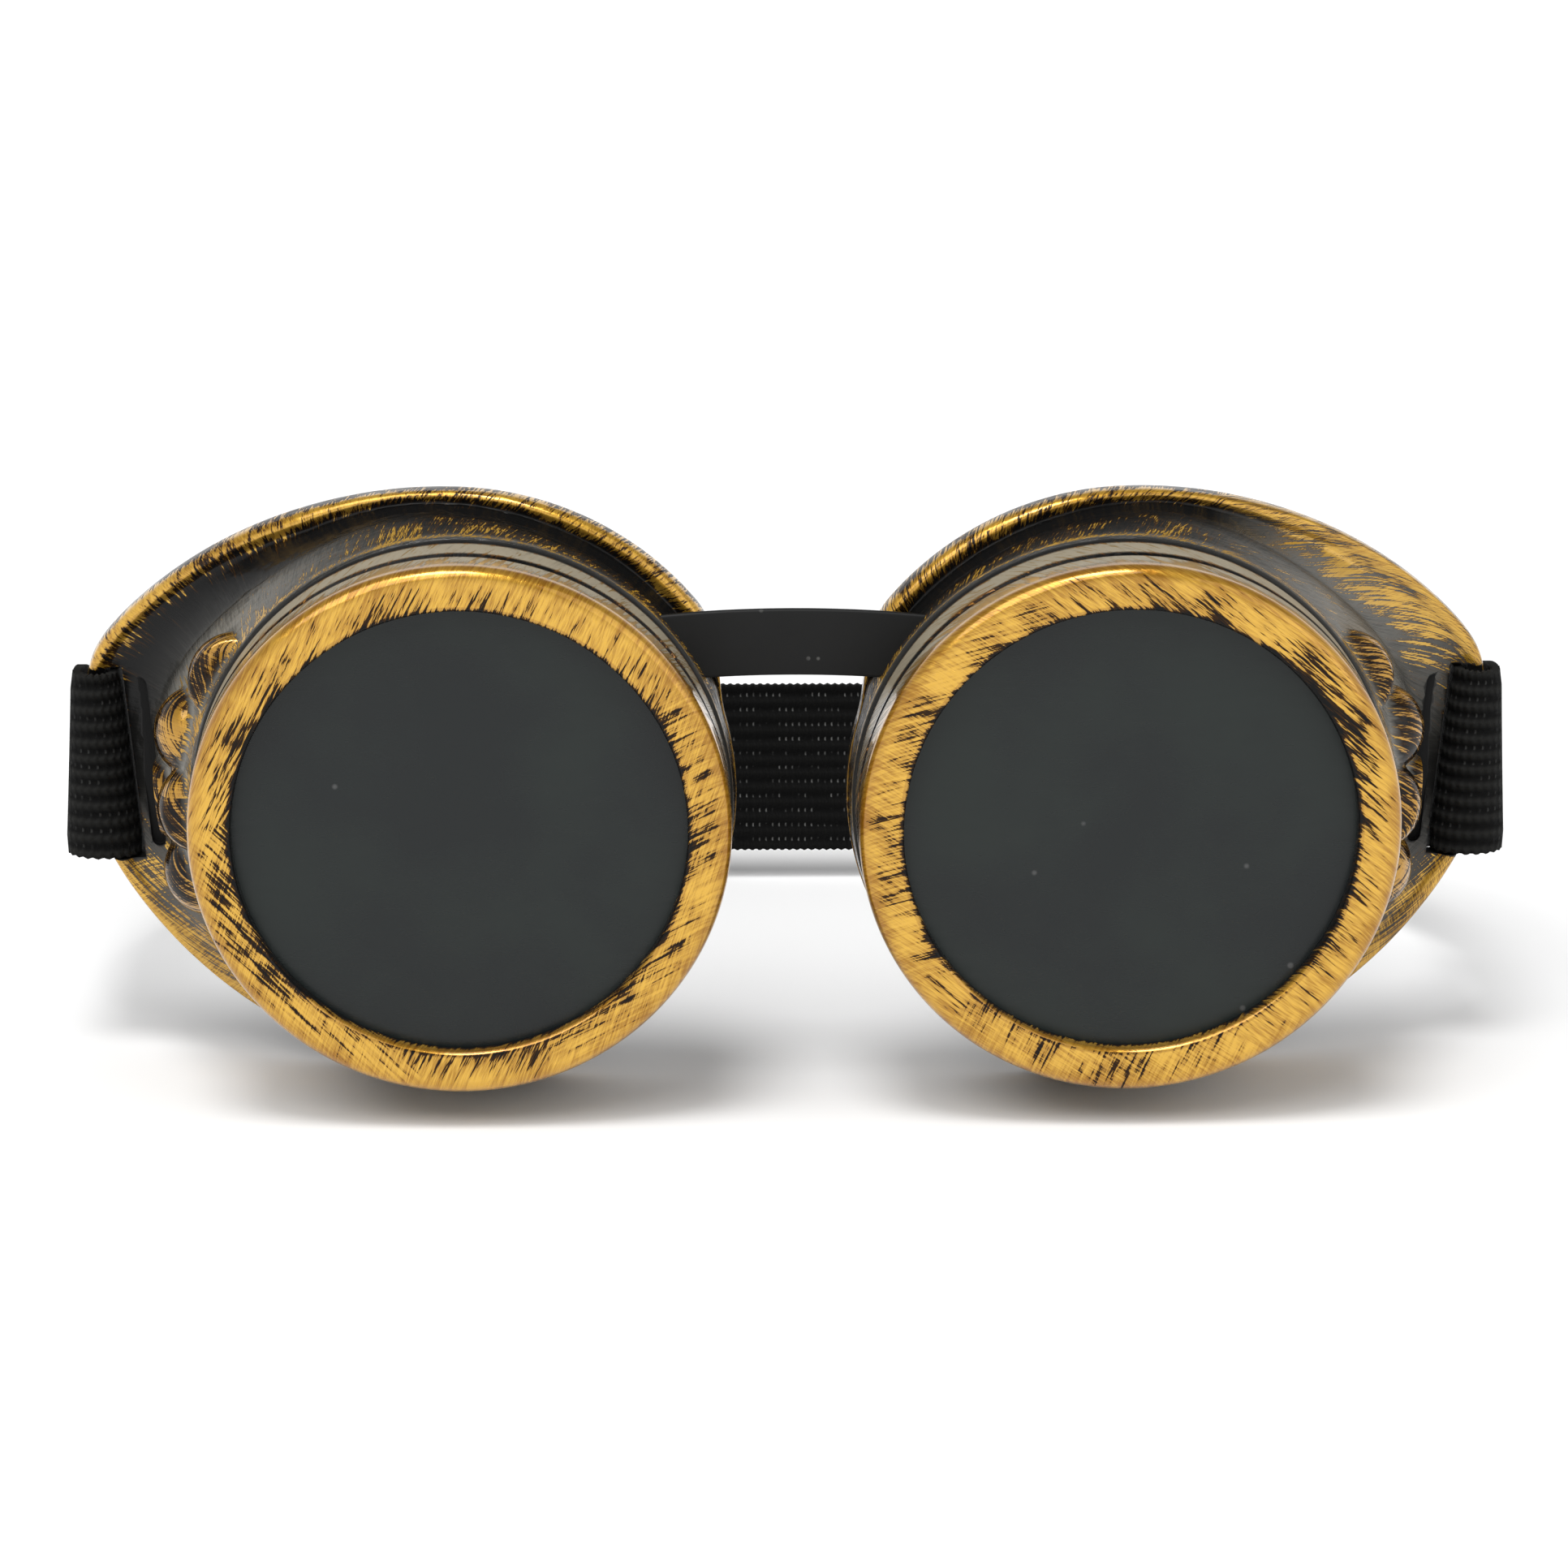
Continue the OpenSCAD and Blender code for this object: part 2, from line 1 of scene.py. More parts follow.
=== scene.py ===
"""Round-cup goggles in brushed antique gold: the looks of the part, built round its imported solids.

All lengths in the working functions are millimetres. Depth is counted back from the front of the
lens rings, u runs from a cup's middle to the temple and v up from it.
"""

from types import SimpleNamespace

import bpy
import numpy as np
from bpy.props import FloatProperty, FloatVectorProperty, PointerProperty
from bpy.types import Operator, Panel, PropertyGroup
from mathutils import Matrix, Vector


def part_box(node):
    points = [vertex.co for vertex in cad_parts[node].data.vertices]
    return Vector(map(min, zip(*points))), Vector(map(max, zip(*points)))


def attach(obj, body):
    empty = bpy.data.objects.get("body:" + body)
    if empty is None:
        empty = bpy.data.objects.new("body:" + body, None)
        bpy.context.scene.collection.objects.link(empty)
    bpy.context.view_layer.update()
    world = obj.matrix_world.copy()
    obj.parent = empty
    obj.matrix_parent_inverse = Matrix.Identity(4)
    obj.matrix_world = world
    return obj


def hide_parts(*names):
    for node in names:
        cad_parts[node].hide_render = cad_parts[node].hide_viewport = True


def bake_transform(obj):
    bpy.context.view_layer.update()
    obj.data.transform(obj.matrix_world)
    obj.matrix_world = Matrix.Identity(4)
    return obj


bl_info = {
    "name": "Round-cup goggles",
    "version": (1, 0, 0),
    "blender": (4, 5, 0),
    "location": "3D View > Sidebar > Goggles",
    "description": "Dresses the packed goggles with brushed gold cups, lens rings and a woven strap",
    "category": "Object",
}

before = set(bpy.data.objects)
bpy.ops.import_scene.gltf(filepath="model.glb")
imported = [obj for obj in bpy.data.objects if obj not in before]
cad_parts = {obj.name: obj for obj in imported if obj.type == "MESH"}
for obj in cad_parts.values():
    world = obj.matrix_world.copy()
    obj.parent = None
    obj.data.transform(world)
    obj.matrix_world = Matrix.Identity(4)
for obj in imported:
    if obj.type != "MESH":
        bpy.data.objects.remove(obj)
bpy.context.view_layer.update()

MM = 0.001
LEFT, RIGHT = -1, 1
SIDES = {LEFT: "left", RIGHT: "right"}
CUP_BODY = {LEFT: "left_eyecup", RIGHT: "main"}


def node_box(node):
    """Lowest and highest corner of a CAD node, in millimetres."""
    low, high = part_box(node)
    return np.array(low) / MM, np.array(high) / MM


LENS_LOW, LENS_HIGH = node_box("right_dark_lens")
FRONT_Y = node_box("right_ring")[0][1]
CUP_X = (LENS_LOW[0] + LENS_HIGH[0]) / 2
AXIS_Z = (LENS_LOW[2] + LENS_HIGH[2]) / 2


def length(label, text, millimetres):
    """A length property with its default given in millimetres."""
    return FloatProperty(
        name=label, description=text, default=millimetres * MM, min=0, unit="LENGTH", precision=5
    )


def colour(label, text, rgb):
    """A colour property, linear."""
    return FloatVectorProperty(
        name=label, description=text, default=rgb, size=3, min=0, max=1, subtype="COLOR"
    )


class GogglesSizes(PropertyGroup):
    """Sizes of the pieces that are drawn anew."""

    hole_r: length("Lens hole", "Radius of the hole in a lens ring", 23)
    ring_r: length("Ring", "Outer radius of a lens ring", 27.5)
    ring_len: length("Ring length", "Length of a lens ring from front to back", 12)
    ring_round: length("Ring rounding", "Radius of the ring's front outer edge", 1.5)
    line_at: length("Turned line", "Depth of the line turned round a ring", 6)
    shoulder_r: length("Shoulder", "Radius of a cup where the ring meets it", 27.8)
    shoulder_at: length("Shoulder depth", "Depth of the cup's shoulder", 12.4)
    rim_reach: length("Rim reach", "Reach of the rim past the shoulder, above and below", 3.6)
    nose_reach: length("Nose reach", "Reach of the rim past the shoulder at the nose", 0.4)
    ear_reach: length("Ear reach", "Reach of the ear past the shoulder", 12.2)
    face_at: length("Face depth", "Depth of the face curve between the cups", 16)
    slot_out: length("Slot place", "Place of the strap slot outside the shoulder", 8)
    strap_w: length("Strap width", "Width of the elastic", 20)
    strap_t: length("Strap thickness", "Thickness of the elastic", 1.2)
    bridge_h: length("Bridge height", "Height of the nose bridge strip", 7)
    bridge_t: length("Bridge thickness", "Thickness of the nose bridge strip", 0.8)


class GogglesColours(PropertyGroup):
    """Colours of the finishes."""

    gold: colour("Gold", "Brushed gold paint", (0.58, 0.325, 0.034))
    # Amber on the rings' rounded front edges is painted shade, deepening as the edge turns to the side.
    amber: colour("Amber", "Darker gold in the hollows and at edges", (0.30, 0.12, 0.014))
    plastic: colour("Plastic", "Black plastic under the gold", (0.006, 0.006, 0.006))
    # Pewter and ash, the thin grey paint, also stand in as a painted reflection of the pale surroundings
    # on the glossy black plastic.
    pewter: colour("Pewter", "Thin grey paint on the rings' sides", (0.3, 0.262, 0.192))
    ash: colour("Ash", "Thin grey paint on the cups", (0.29, 0.28, 0.25))
    lens: colour("Lens", "Dark lens", (0.007, 0.0095, 0.0098))
    elastic: colour("Elastic", "Woven head strap", (0.0042, 0.0042, 0.0039))
    bridge: colour("Bridge", "Flexible nose bridge", (0.0052, 0.0055, 0.0055))
    floor: colour("Floor", "Plain pale floor", (0.9, 0.9, 0.9))


FACE_R = 200
FOOT_LEAD = 1.8
DISH = 3.2
CHANNEL_DIP = 0.6
FLANK_SLOPE = 0.3
FLANK_WALL = 1.8
LIP_W = 2.2
LIP_RISE = 1.2
RIM_T = 2.6
EDGE = 0.3
TEMPLE_FLAT, LOWER_FLAT = 18, 12.5
NOSE_TURN, NOSE_HALF, NOSE_BLEND = 198, 34, 24
RIM_CORNER = 40.0
POCKET_R, ROOT_R = 25.2, 26.2
NECK_AT, NECK_R, CREST_R, BORE_R = 6.7, 24.95, 25.95, 22.65
PITCH, RIDGE_W, CREST_W, SINK = 2.4, 1.4, 0.5, 0.2
LIP_T = 2
WEB_T = 3.6
DOME_R, DOME_H = 4.9, 2.4
DOMES = ((28, 3.2), (11.5, 8.2), (-5, 13.2), (-3.5, 5), (-20, 10))
SLOT_PLAY = 0.3
TROUGH_W, TROUGH_LEN, TROUGH_CUT = 1.5, 18, 1
SLOT_LEAN = 6
LAYER = 1.5
LOOP_SLACK = 0.6
SLOT_RUN, MERGE_RUN, TAIL_LEN = 4, 14, 25
SIDE_LEN, CORNER_R = 22, 42
SLIDER_X, SLIDER_LEN, RAIL_H = -17, 12, 3.2
HEM_LEN, HEM_BEND = 16, 7
EAR_HOLD = 6
MID_BAR_D = 2
END_BAR_T, END_BAR_W = 1.8, 2.2
BRIDGE_UP, BRIDGE_RISE, BRIDGE_AT, BRIDGE_FLEX = 15.8, 0.8, 13.45, 7
STITCH_STEP, STITCH_COUNT, ROW_STEP, THREAD_D = 2.4, 7, 4, 0.6
DROP_POWER = 0.7
SIDE_LEAN = 3
SHARP_ANGLE = np.radians(42)


def measures(context):
    """The size properties in millimetres, with what follows from them, and the colours."""
    group = context.scene.goggles_sizes
    m = SimpleNamespace(**{k: getattr(group, k) / MM for k in GogglesSizes.__annotations__})
    m.colours = context.scene.goggles_colours
    m.rim_r = m.shoulder_r + m.rim_reach
    m.ear_u = m.shoulder_r + m.ear_reach
    m.slot_u = m.shoulder_r + m.slot_out
    m.slot_x = CUP_X + m.slot_u
    m.side_x = CUP_X + m.ear_u + m.strap_t / 2 + LOOP_SLACK
    m.loop_r = (m.side_x - m.slot_x) / 2
    m.loop_at = m.face_at + sag(CUP_X + m.ear_u) - EDGE
    m.corner_at = m.loop_at + SIDE_LEN
    m.back_at = m.corner_at + CORNER_R
    m.run_len = SIDE_LEN + CORNER_R * np.pi / 2
    m.slider_h = m.strap_w + 2 * (RAIL_H + SLOT_PLAY)
    m.wrap_r = MID_BAR_D / 2 + LAYER - m.strap_t / 2
    m.mid_bar_at = m.back_at - LAYER - m.wrap_r
    return m


def smooth(p):
    """Smooth step: 3q^2 - 2q^3 with q = p kept within 0 to 1."""
    q = np.clip(p, 0, 1)
    return q * q * (3 - 2 * q)


def bump(t, middle, half):
    """Smooth hill of height 1 round an angle in degrees, 0 beyond half."""
    away = np.abs((t - middle + 180) % 360 - 180)
    return smooth(1 - away / half)


def cos_sin(degrees):
    """Cosine and sine of an angle in degrees."""
    a = np.radians(degrees)
    return np.cos(a), np.sin(a)


def sag(x):
    """Depth by which the face circle of radius FACE_R falls back at distance x from the middle."""
    return FACE_R - np.sqrt(FACE_R**2 - x**2)


def stacked(*parts):
    """Arrays or single values side by side along a new last axis."""
    return np.stack(np.broadcast_arrays(*parts), -1)


def to_world(u, depth, v, side):
    """Points of a cup from (u, depth, v) to the row frame, in metres."""
    return plan_to_world(side * (CUP_X + u), depth, v + AXIS_Z)


def plan_to_world(x, depth, z):
    """Points given by x, depth and height above the floor, in metres."""
    return stacked(x, depth + FRONT_Y, z) * MM


def add_object(name, data):
    """New object in the scene."""
    obj = bpy.data.objects.new(name, data)
    bpy.context.scene.collection.objects.link(obj)
    return obj


def lay_grid(name, grid, uv=None, marks=None, endless=False):
    """Object over a grid of points of shape (n, m, 3), joined round along m.

    Along n it is joined round if endless, with a UV from 0 to 1 both ways, and otherwise closed with
    a face at each end. The faces are turned round where the volume inside, the sum of
    a . (b x c + c x d), comes out below 0. uv has a column more than the grid. marks are named
    values for each point.
    """
    n, m = grid.shape[:2]
    i = np.arange(n if endless else n - 1)[:, None]
    j = np.arange(m)
    steps = ((0, 0), (1, 0), (1, 1), (0, 1))
    corners = np.stack([((i + a) % n) * m + (j + b) % m for a, b in steps], -1).reshape(-1, 4)
    ends = np.stack([np.arange(m), np.arange(n * m - m, n * m)[::-1]])
    points = grid.reshape(-1, 3)
    a, b, c, d = points[corners].swapaxes(0, 1)
    if (a * (np.cross(b, c) + np.cross(c, d))).sum() < 0:
        corners, ends, steps = corners[:, ::-1], ends[:, ::-1], steps[::-1]
    faces = corners.tolist()
    if endless:
        uv = stacked(np.arange(n + 1)[:, None] / n, np.arange(m + 1) / m)
    else:
        faces += ends.tolist()
    mesh = bpy.data.meshes.new(name)
    mesh.from_pydata(points.tolist(), [], faces)
    mesh.update()
    if uv is not None:
        spread = np.stack([uv[i + a, j + b] for a, b in steps], -2).reshape(-1, 2)
        flat = np.zeros((len(mesh.loops), 2), np.float32)
        flat[: len(spread)] = spread
        mesh.uv_layers.new(name="brush").data.foreach_set("uv", flat.ravel())
    for key, values in (marks or {}).items():
        layer = mesh.attributes.new(key, "FLOAT", "POINT")
        layer.data.foreach_set("value", np.ascontiguousarray(values, np.float32).ravel())
    mesh.shade_smooth()
    mesh.set_sharp_from_angle(angle=SHARP_ANGLE)
    return add_object(name, mesh)


def curve_through(controls, per):
    """Closed quadratic B-spline of control points along axis -2, per points for each control."""
    after = np.roll(controls, -1, -2)
    middle = (controls + after) / 2
    w = (np.arange(per) / per)[:, None]
    a, b, c = (x[..., None, :] for x in (middle, after, np.roll(middle, -1, -2)))
    parts = (1 - w) ** 2 * a + 2 * w * (1 - w) * b + w**2 * c
    return parts.reshape(*controls.shape[:-2], -1, controls.shape[-1])


def revolved(name, profile, marks, side, stations=240):
    """Solid of revolution about a cup's axis: the closed profile of [radius, depth] turned round.

    The marks hold a value for each profile row, for each station as a column, or for both.
    """
    angle = np.linspace(0, 2 * np.pi, stations, endpoint=False)[:, None]
    radius, depth = profile.T
    grid = to_world(radius * np.cos(angle), depth, radius * np.sin(angle), side)
    spread = {k: np.broadcast_to(x, grid.shape[:2]) for k, x in marks.items()}
    return lay_grid(name, grid, marks=spread, endless=True)


def ridge(name, foot_r, crest_r, start, end, side):
    """Screw thread: a four-cornered section carried along a helix of one PITCH a turn."""
    turns = (end - RIDGE_W / 2 - EDGE - start) / PITCH
    turn = np.linspace(0, turns, int(turns * 90))[:, None]
    radius = np.array([foot_r, crest_r, crest_r, foot_r])
    shift = np.array([RIDGE_W, CREST_W, -CREST_W, -RIDGE_W]) / 2
    angle = 2 * np.pi * turn * side
    u, v = radius * np.cos(angle), -radius * np.sin(angle)
    grid = to_world(u, start + PITCH * turn + shift, v, side)
    return lay_grid(name, grid, marks={"gold": np.full(grid.shape[:2], THREAD_GOLD)})


FLANK_START, FLANK_END = 4.4, 13
CUP_STATIONS, CUP_STEPS = 420, 6
CUP_SHEET = (190, 62)
LOW_TURN, HIGH_TURN = -46, 36
DOME_GOLD, DOME_AMBER, DOME_FADE = 0.38, 0.5, 0.6
NECK_GOLD, THREAD_GOLD = 0.15, 0.25
TROUGH_SLOT = 2
WALL_GOLD, WALL_UP, WALL_FADE = 0.5, 2.1, 0.2
CUTTER_LEAD = 6


def rim_outline(m, t):
    """Rim radius at angle t: a flat arc to the temple, cut by the ear, and less at the nose."""
    c, s = cos_sin(t)
    flat = LOWER_FLAT + (TEMPLE_FLAT - LOWER_FLAT) * smooth(s * 2 + 0.5)
    temple = np.sqrt((m.rim_r + flat) ** 2 - (flat * c) ** 2) - flat * np.abs(s)
    ear = m.ear_u / np.maximum(c, 0.1)
    cornered = (temple**-RIM_CORNER + ear**-RIM_CORNER) ** (-1 / RIM_CORNER)
    cut = smooth((NOSE_HALF + NOSE_BLEND - np.abs(t - NOSE_TURN)) / NOSE_BLEND)
    return np.where(c > 0, cornered, m.rim_r - (m.rim_reach - m.nose_reach) * cut)


def cup_controls(m, t, side):
    """Closed section of a cup behind its neck for each angle t, as [radius, depth, gold, dust].

    It runs over the shoulder, down the flank into the channel, over the rolled lip and back
    along the inside. Gold is how much brush reaches each place and dust how much thin grey paint;
    the grey towards the temple is a painted reflection of the pale surroundings on the glossy plastic.
    """
    c, s = cos_sin(t)
    rim = rim_outline(m, t)
    rim_d = m.face_at + sag(CUP_X + rim * c)
    band = rim - m.shoulder_r
    foot_d = rim_d - FOOT_LEAD - np.where(c > 0, DISH * (2 * s * c) ** 2, 0)
    foot_r = m.shoulder_r + np.minimum(FLANK_SLOPE * (foot_d - m.shoulder_at), band / 2)
    lip_in = np.maximum(rim - LIP_W, foot_r + band / 4)
    rise = LIP_RISE * (rim - lip_in) / LIP_W
    channel = (foot_d + rim_d) / 2 + CHANNEL_DIP * (lip_in - foot_r) / (rim - foot_r)
    inner_r = foot_r - FLANK_WALL
    inner_d = m.face_at + sag(CUP_X + inner_r * c) + RIM_T
    web_at = m.shoulder_at + WEB_T
    low = np.sqrt(bump(t, LOW_TURN, 42)) * (0.85 if side == RIGHT else 1)
    high = np.sqrt(bump(t, HIGH_TURN, 36)) * (side == RIGHT)
    brushed = np.maximum(low, 0.85 * high)
    # Painted reflection: towards the temple the flank gets more pale grey and less gold, standing in for
    # the pale surroundings reflected in the glossy plastic.
    temple = bump(t, 5, 85)
    crest = rise * (1 - 0.9 * brushed)

    def flank(q):
        start = m.shoulder_at + EDGE
        return m.shoulder_r + (foot_r - m.shoulder_r) * q, start + (foot_d - start) * q

    rows = [
        *[(BORE_R, m.shoulder_at, -1, 0)] * 2,
        (m.shoulder_r - EDGE, m.shoulder_at, -1, 0),
        (m.shoulder_r, m.shoulder_at + EDGE, -0.3, 0.2),
        (*flank(0.05), 0.5, 0.4),
        (*flank(0.1), 0.56 - 0.2 * temple, 0.5),
        (*flank(0.17), 0.24 - 0.1 * temple, 0.08 + 0.62 * temple),
        (*flank(0.4), 0.24 - 0.12 * temple + 0.28 * low, 0.04 + 0.86 * temple),
        (*flank(0.6), 0.18 + 0.34 * low, 0.02 + 0.95 * temple),
        (*flank(0.8), 0.02 + 0.5 * low, 0.8 * temple),
        (*flank(0.94), -0.2 + 0.7 * low, 0.4 * temple + 0.2 * low),
        (foot_r, foot_d, -0.3 + 0.85 * low + 0.3 * high, 0.1 * temple + 0.45 * brushed),
        ((foot_r + lip_in) / 2, channel, -0.45 + 1.05 * brushed, 0.6 * brushed),
        (lip_in, rim_d - 0.2 * rise, 0.16 + 0.44 * brushed, 0.5 * brushed),
        ((lip_in + rim) / 2, rim_d - 1.3 * crest, 0.66, 0.5 * brushed),
        (rim - 0.1 * (rim - lip_in), rim_d - 0.75 * crest, 0.76, 0.4 * brushed),
        (rim, rim_d + 0.2 * rise, 0.36 + 0.2 * brushed, 0.3 * brushed),
        (rim, rim_d + RIM_T - rise / 2, 0.22 + 0.2 * brushed, 0.3 * brushed),
        (rim - 0.4 * (rim - lip_in), rim_d + RIM_T, 0.15, 0),
        (inner_r, inner_d, -0.5, 0),
        (m.shoulder_r - FLANK_WALL, web_at, -0.9, 0),
        *[(BORE_R, web_at, -1, 0)] * 2,
    ]
    return np.stack([np.stack([x + 0 * t for x in row], -1) for row in rows], 1)


def raise_domes(m, points, normals, reach):
    """Height that each point moves along its normal to reach the spheres of the vent domes."""
    height = np.zeros(points.shape[:2])
    for angle, behind in DOMES:
        c, s = cos_sin(angle)
        out = m.shoulder_r + FLANK_SLOPE * behind - (DOME_R - DOME_H)
        away = points - (out * c, m.shoulder_at + behind, out * s)
        inside = DOME_R**2 - (away**2).sum(-1)
        along = (away * normals).sum(-1)
        lift = np.sqrt(np.maximum(along**2 + inside, 0)) - along
        height = np.where(inside > 0, np.maximum(height, lift), height)
    return height * reach


def rounded_section(width, height, corner, per=5):
    """Closed rounded rectangle as [across, up] points."""
    a = np.linspace(0, np.pi / 2, per)
    part = stacked(np.cos(a), np.sin(a)) * corner + (np.array([width, height]) / 2 - corner)
    signs = ((1, 1), (-1, 1), (-1, -1), (1, -1))
    return np.concatenate([part[:: x * y] * (x, y) for x, y in signs])


def slab(name, m, inner, outer, tall, corner, end, side, slot=1):
    """Cutter from the front to a depth, leaning like the strap slot: a rounded section carried along.

    inner and outer are its sides, counted outwards from the slot's middle. slot is the material slot
    of the faces that it cuts.
    """
    section = rounded_section(outer - inner, tall, corner)
    across, up = section[:, 0] + (inner + outer) / 2, section[:, 1]
    c, s = cos_sin(SLOT_LEAN)
    x, z = across * c + up * s, up * c - across * s
    depth = np.array([m.shoulder_at + CUTTER_LEAD, end])[:, None]
    grid = to_world(m.slot_u + x, depth, z, side)
    steps = np.linalg.norm(np.roll(section, -1, 0) - section, axis=1)
    around = np.append(0, np.cumsum(steps)) / CUP_SHEET[0]
    cutter = lay_grid(name, grid, stacked(around, depth / CUP_SHEET[1]))
    for face in cutter.data.polygons:
        face.material_index = slot
    return cutter


def carve(obj, cutters):
    """Cut the cutters out of obj and remove them."""
    for cutter in cutters:
        cut = obj.modifiers.new("cut", "BOOLEAN")
        cut.object = cutter
        cut.solver = "EXACT"
    graph = bpy.context.evaluated_depsgraph_get()
    mesh = bpy.data.meshes.new_from_object(obj.evaluated_get(graph))
    obj.modifiers.clear()
    obj.data = mesh
    mesh.shade_smooth()
    mesh.set_sharp_from_angle(angle=SHARP_ANGLE)
    for cutter in cutters:
        bpy.data.objects.remove(cutter)
    return obj


def brush_trough(shell, deep):
    """Brush the trough's wall like a dome where it cuts one, and less from there to its end at deep."""
    mesh = shell.data
    walls = [face for face in mesh.polygons if face.material_index == TROUGH_SLOT]
    if not walls:
        raise RuntimeError(f"the trough cut nothing of {shell.name}")
    for face in walls:
        face.material_index = 0
    for point in {point for face in walls for point in face.vertices}:
        up = deep - mesh.vertices[point].co.y / MM + FRONT_Y
        gold = np.interp(up, (0, WALL_UP, WALL_UP + WALL_FADE), (-1, 0, WALL_GOLD))
        before = np.clip((up - WALL_UP) / WALL_FADE, 0, 1)
        marks = {"gold": gold, "amber": DOME_AMBER * before, "second": before, "dust": 0}
        for key, value in marks.items():
            mesh.attributes[key].data[point].value = value
    return shell


def cup_shell(m, side):
    """Shell of a cup: the section of cup_controls turned round its axis, with the domes raised."""
    t = np.linspace(0, 360, CUP_STATIONS, endpoint=False)
    surface = curve_through(cup_controls(m, t, side), CUP_STEPS)
    radius, depth, gold, dust = np.moveaxis(surface, -1, 0)
    c, s = cos_sin(t[:, None])
    points = stacked(radius * c, depth, radius * s)
    normals = np.cross(*(np.roll(points, -1, way) - np.roll(points, 1, way) for way in (1, 0)))
    normals /= np.linalg.norm(normals, axis=-1, keepdims=True) + 1e-9
    column = np.arange(surface.shape[1]) / CUP_STEPS
    reach = smooth(column - FLANK_START) * smooth(FLANK_END - column)
    lift = raise_domes(m, points, normals, reach)
    points = points + normals * lift[..., None]
    dome = smooth(lift / DOME_FADE)
    low = np.sqrt(bump(t, LOW_TURN, 52))[:, None] + 0 * gold
    high = np.sqrt(bump(t, HIGH_TURN, 48))[:, None]
    marks = {
        "gold": gold + (DOME_GOLD - gold) * dome,
        "amber": DOME_AMBER * dome,
        "dust": dust * (1 - dome),
        "second": np.maximum(low if side == LEFT else high, dome),
        "third": low,
    }
    grid = to_world(*np.moveaxis(points, -1, 0), side)
    shell = lay_grid(f"{SIDES[side]}_cup_shell", grid, marks=marks, endless=True)
    half = m.strap_t / 2 + SLOT_PLAY
    tall = m.strap_w + 2 * SLOT_PLAY
    rib = half + 3 * EDGE
    deep = m.face_at + sag(CUP_X + m.slot_u - rib - TROUGH_W) + CHANNEL_DIP + TROUGH_CUT
    cutters = [
        slab("slot_cutter", m, -half, half, tall, 0.1, 2 * m.back_at, side),
        slab("trough_cutter", m, -rib - TROUGH_W, -rib, TROUGH_LEN, 0.7, deep, side, TROUGH_SLOT),
        slab("bed_cutter", m, 0, m.ear_reach, tall, 0.1, m.loop_at - SLOT_PLAY, side),
    ]
    return brush_trough(carve(shell, cutters), deep)


def cup_neck(m, side):
    """Threaded neck of a cup, a plain turned sleeve."""
    back = m.shoulder_at + EDGE
    radius = (BORE_R, NECK_R - EDGE, NECK_R, NECK_R, BORE_R)
    profile = stacked(radius, (NECK_AT, NECK_AT, NECK_AT + EDGE, back, back))
    return revolved(f"{SIDES[side]}_cup_neck", profile, {"gold": NECK_GOLD}, side)


RING_STATIONS, RING_PLAY = 300, 0.5
LINE_CUT, LINE_HALF = 0.9, 0.6
# Angles of the strokes, then where the second, the third and wear lie: middle and half, in degrees
RING_BRUSH = {
    LEFT: ((62, 28, -45), (-20, 80), (215, 62), (190, 75)),
    RIGHT: ((-42, 65, 15), (-90, 62), (170, 80), (35, 60)),
}


def ring_profile(m):
    """Closed section of a lens ring: rows of radius, depth, gold, amber and dust. The dust is thin grey
    paint on the ring's side and collar that stands in as a painted reflection of the pale surroundings.
    """
    a = np.radians(np.linspace(0, 90, 10))
    r = m.ring_round
    soft = 2 * EDGE
    face = np.linspace(m.hole_r + soft, m.ring_r - r, 9)[:-1]
    before, after, back = m.line_at - LINE_HALF, m.line_at + LINE_HALF, m.ring_len - EDGE
    rows = [(POCKET_R, LIP_T, 0, 0, 0), (m.hole_r, LIP_T, 0, 0, 0)]
    rows += [
        (m.hole_r + soft * (1 - np.cos(x)), soft * (1 - np.sin(x)), 0.1 + 0.5 * np.sin(x) ** 3, 0.4, 0)
        for x in a[:-1]
    ]
    rows += [(x, 0, 0.66 + 0.012 * k, 0, 0) for k, x in enumerate(face)]
    # Painted shade: over the rounded front edge the amber deepens as the edge turns away to the side.
    rows += [
        (m.ring_r - r + r * np.sin(x), r - r * np.cos(x), 0.85 + 0.35 * np.sin(x), 0.45 * np.sin(x), 0)
        for x in a
    ]
    # The last column lays pale grey on the ring's side and collar: thin grey paint as a painted
    # reflection of the pale surroundings.
    side = [
        (0, 2.4, 0.62, 0.3, 0.8),
        (0, before - 1, 0.44, 0.2, 1.2),
        (0, before - 0.3, 0.36, 0.5, 1),
        (0, before, 0.44, 1, 0),
        (LINE_CUT, m.line_at - 0.12, -1, 0.5, 0),
        (LINE_CUT, m.line_at + 0.12, -1, 0.5, 0),
        (0, after, 0.2, 1, 0),
        (0, after + 0.35, 0.54, 1, 0.4),
        (0, after + 0.9, 0.26, 0.2, 1.3),
        (0, (m.line_at + m.ring_len) / 2 + 0.5, 0.24, 0, 1.4),
        (0, back - 0.8, 0.26, 0.2, 1.3),
        (0, back - 0.35, 0.54, 1, 0.4),
        (0, back, 0.1, 1, 0),
        (EDGE, m.ring_len, -1, 0.5, 0),
    ]
    rows += [(m.ring_r - inset, *others) for inset, *others in side]
    rows += [
        (ROOT_R, m.ring_len, -1, 0, 0),
        (ROOT_R, NECK_AT - EDGE, 0, 0, 0),
        (POCKET_R, NECK_AT - EDGE, 0, 0, 0),
    ]
    return np.array(rows, float)


def maths(operation, backwards=False):
    """Method that adds a Math node for its values, in their order or backwards."""

    def method(*values):
        inputs = dict(enumerate(values[::-1] if backwards else values))
        return values[0].finish.node("Math", inputs, operation=operation)

    return method


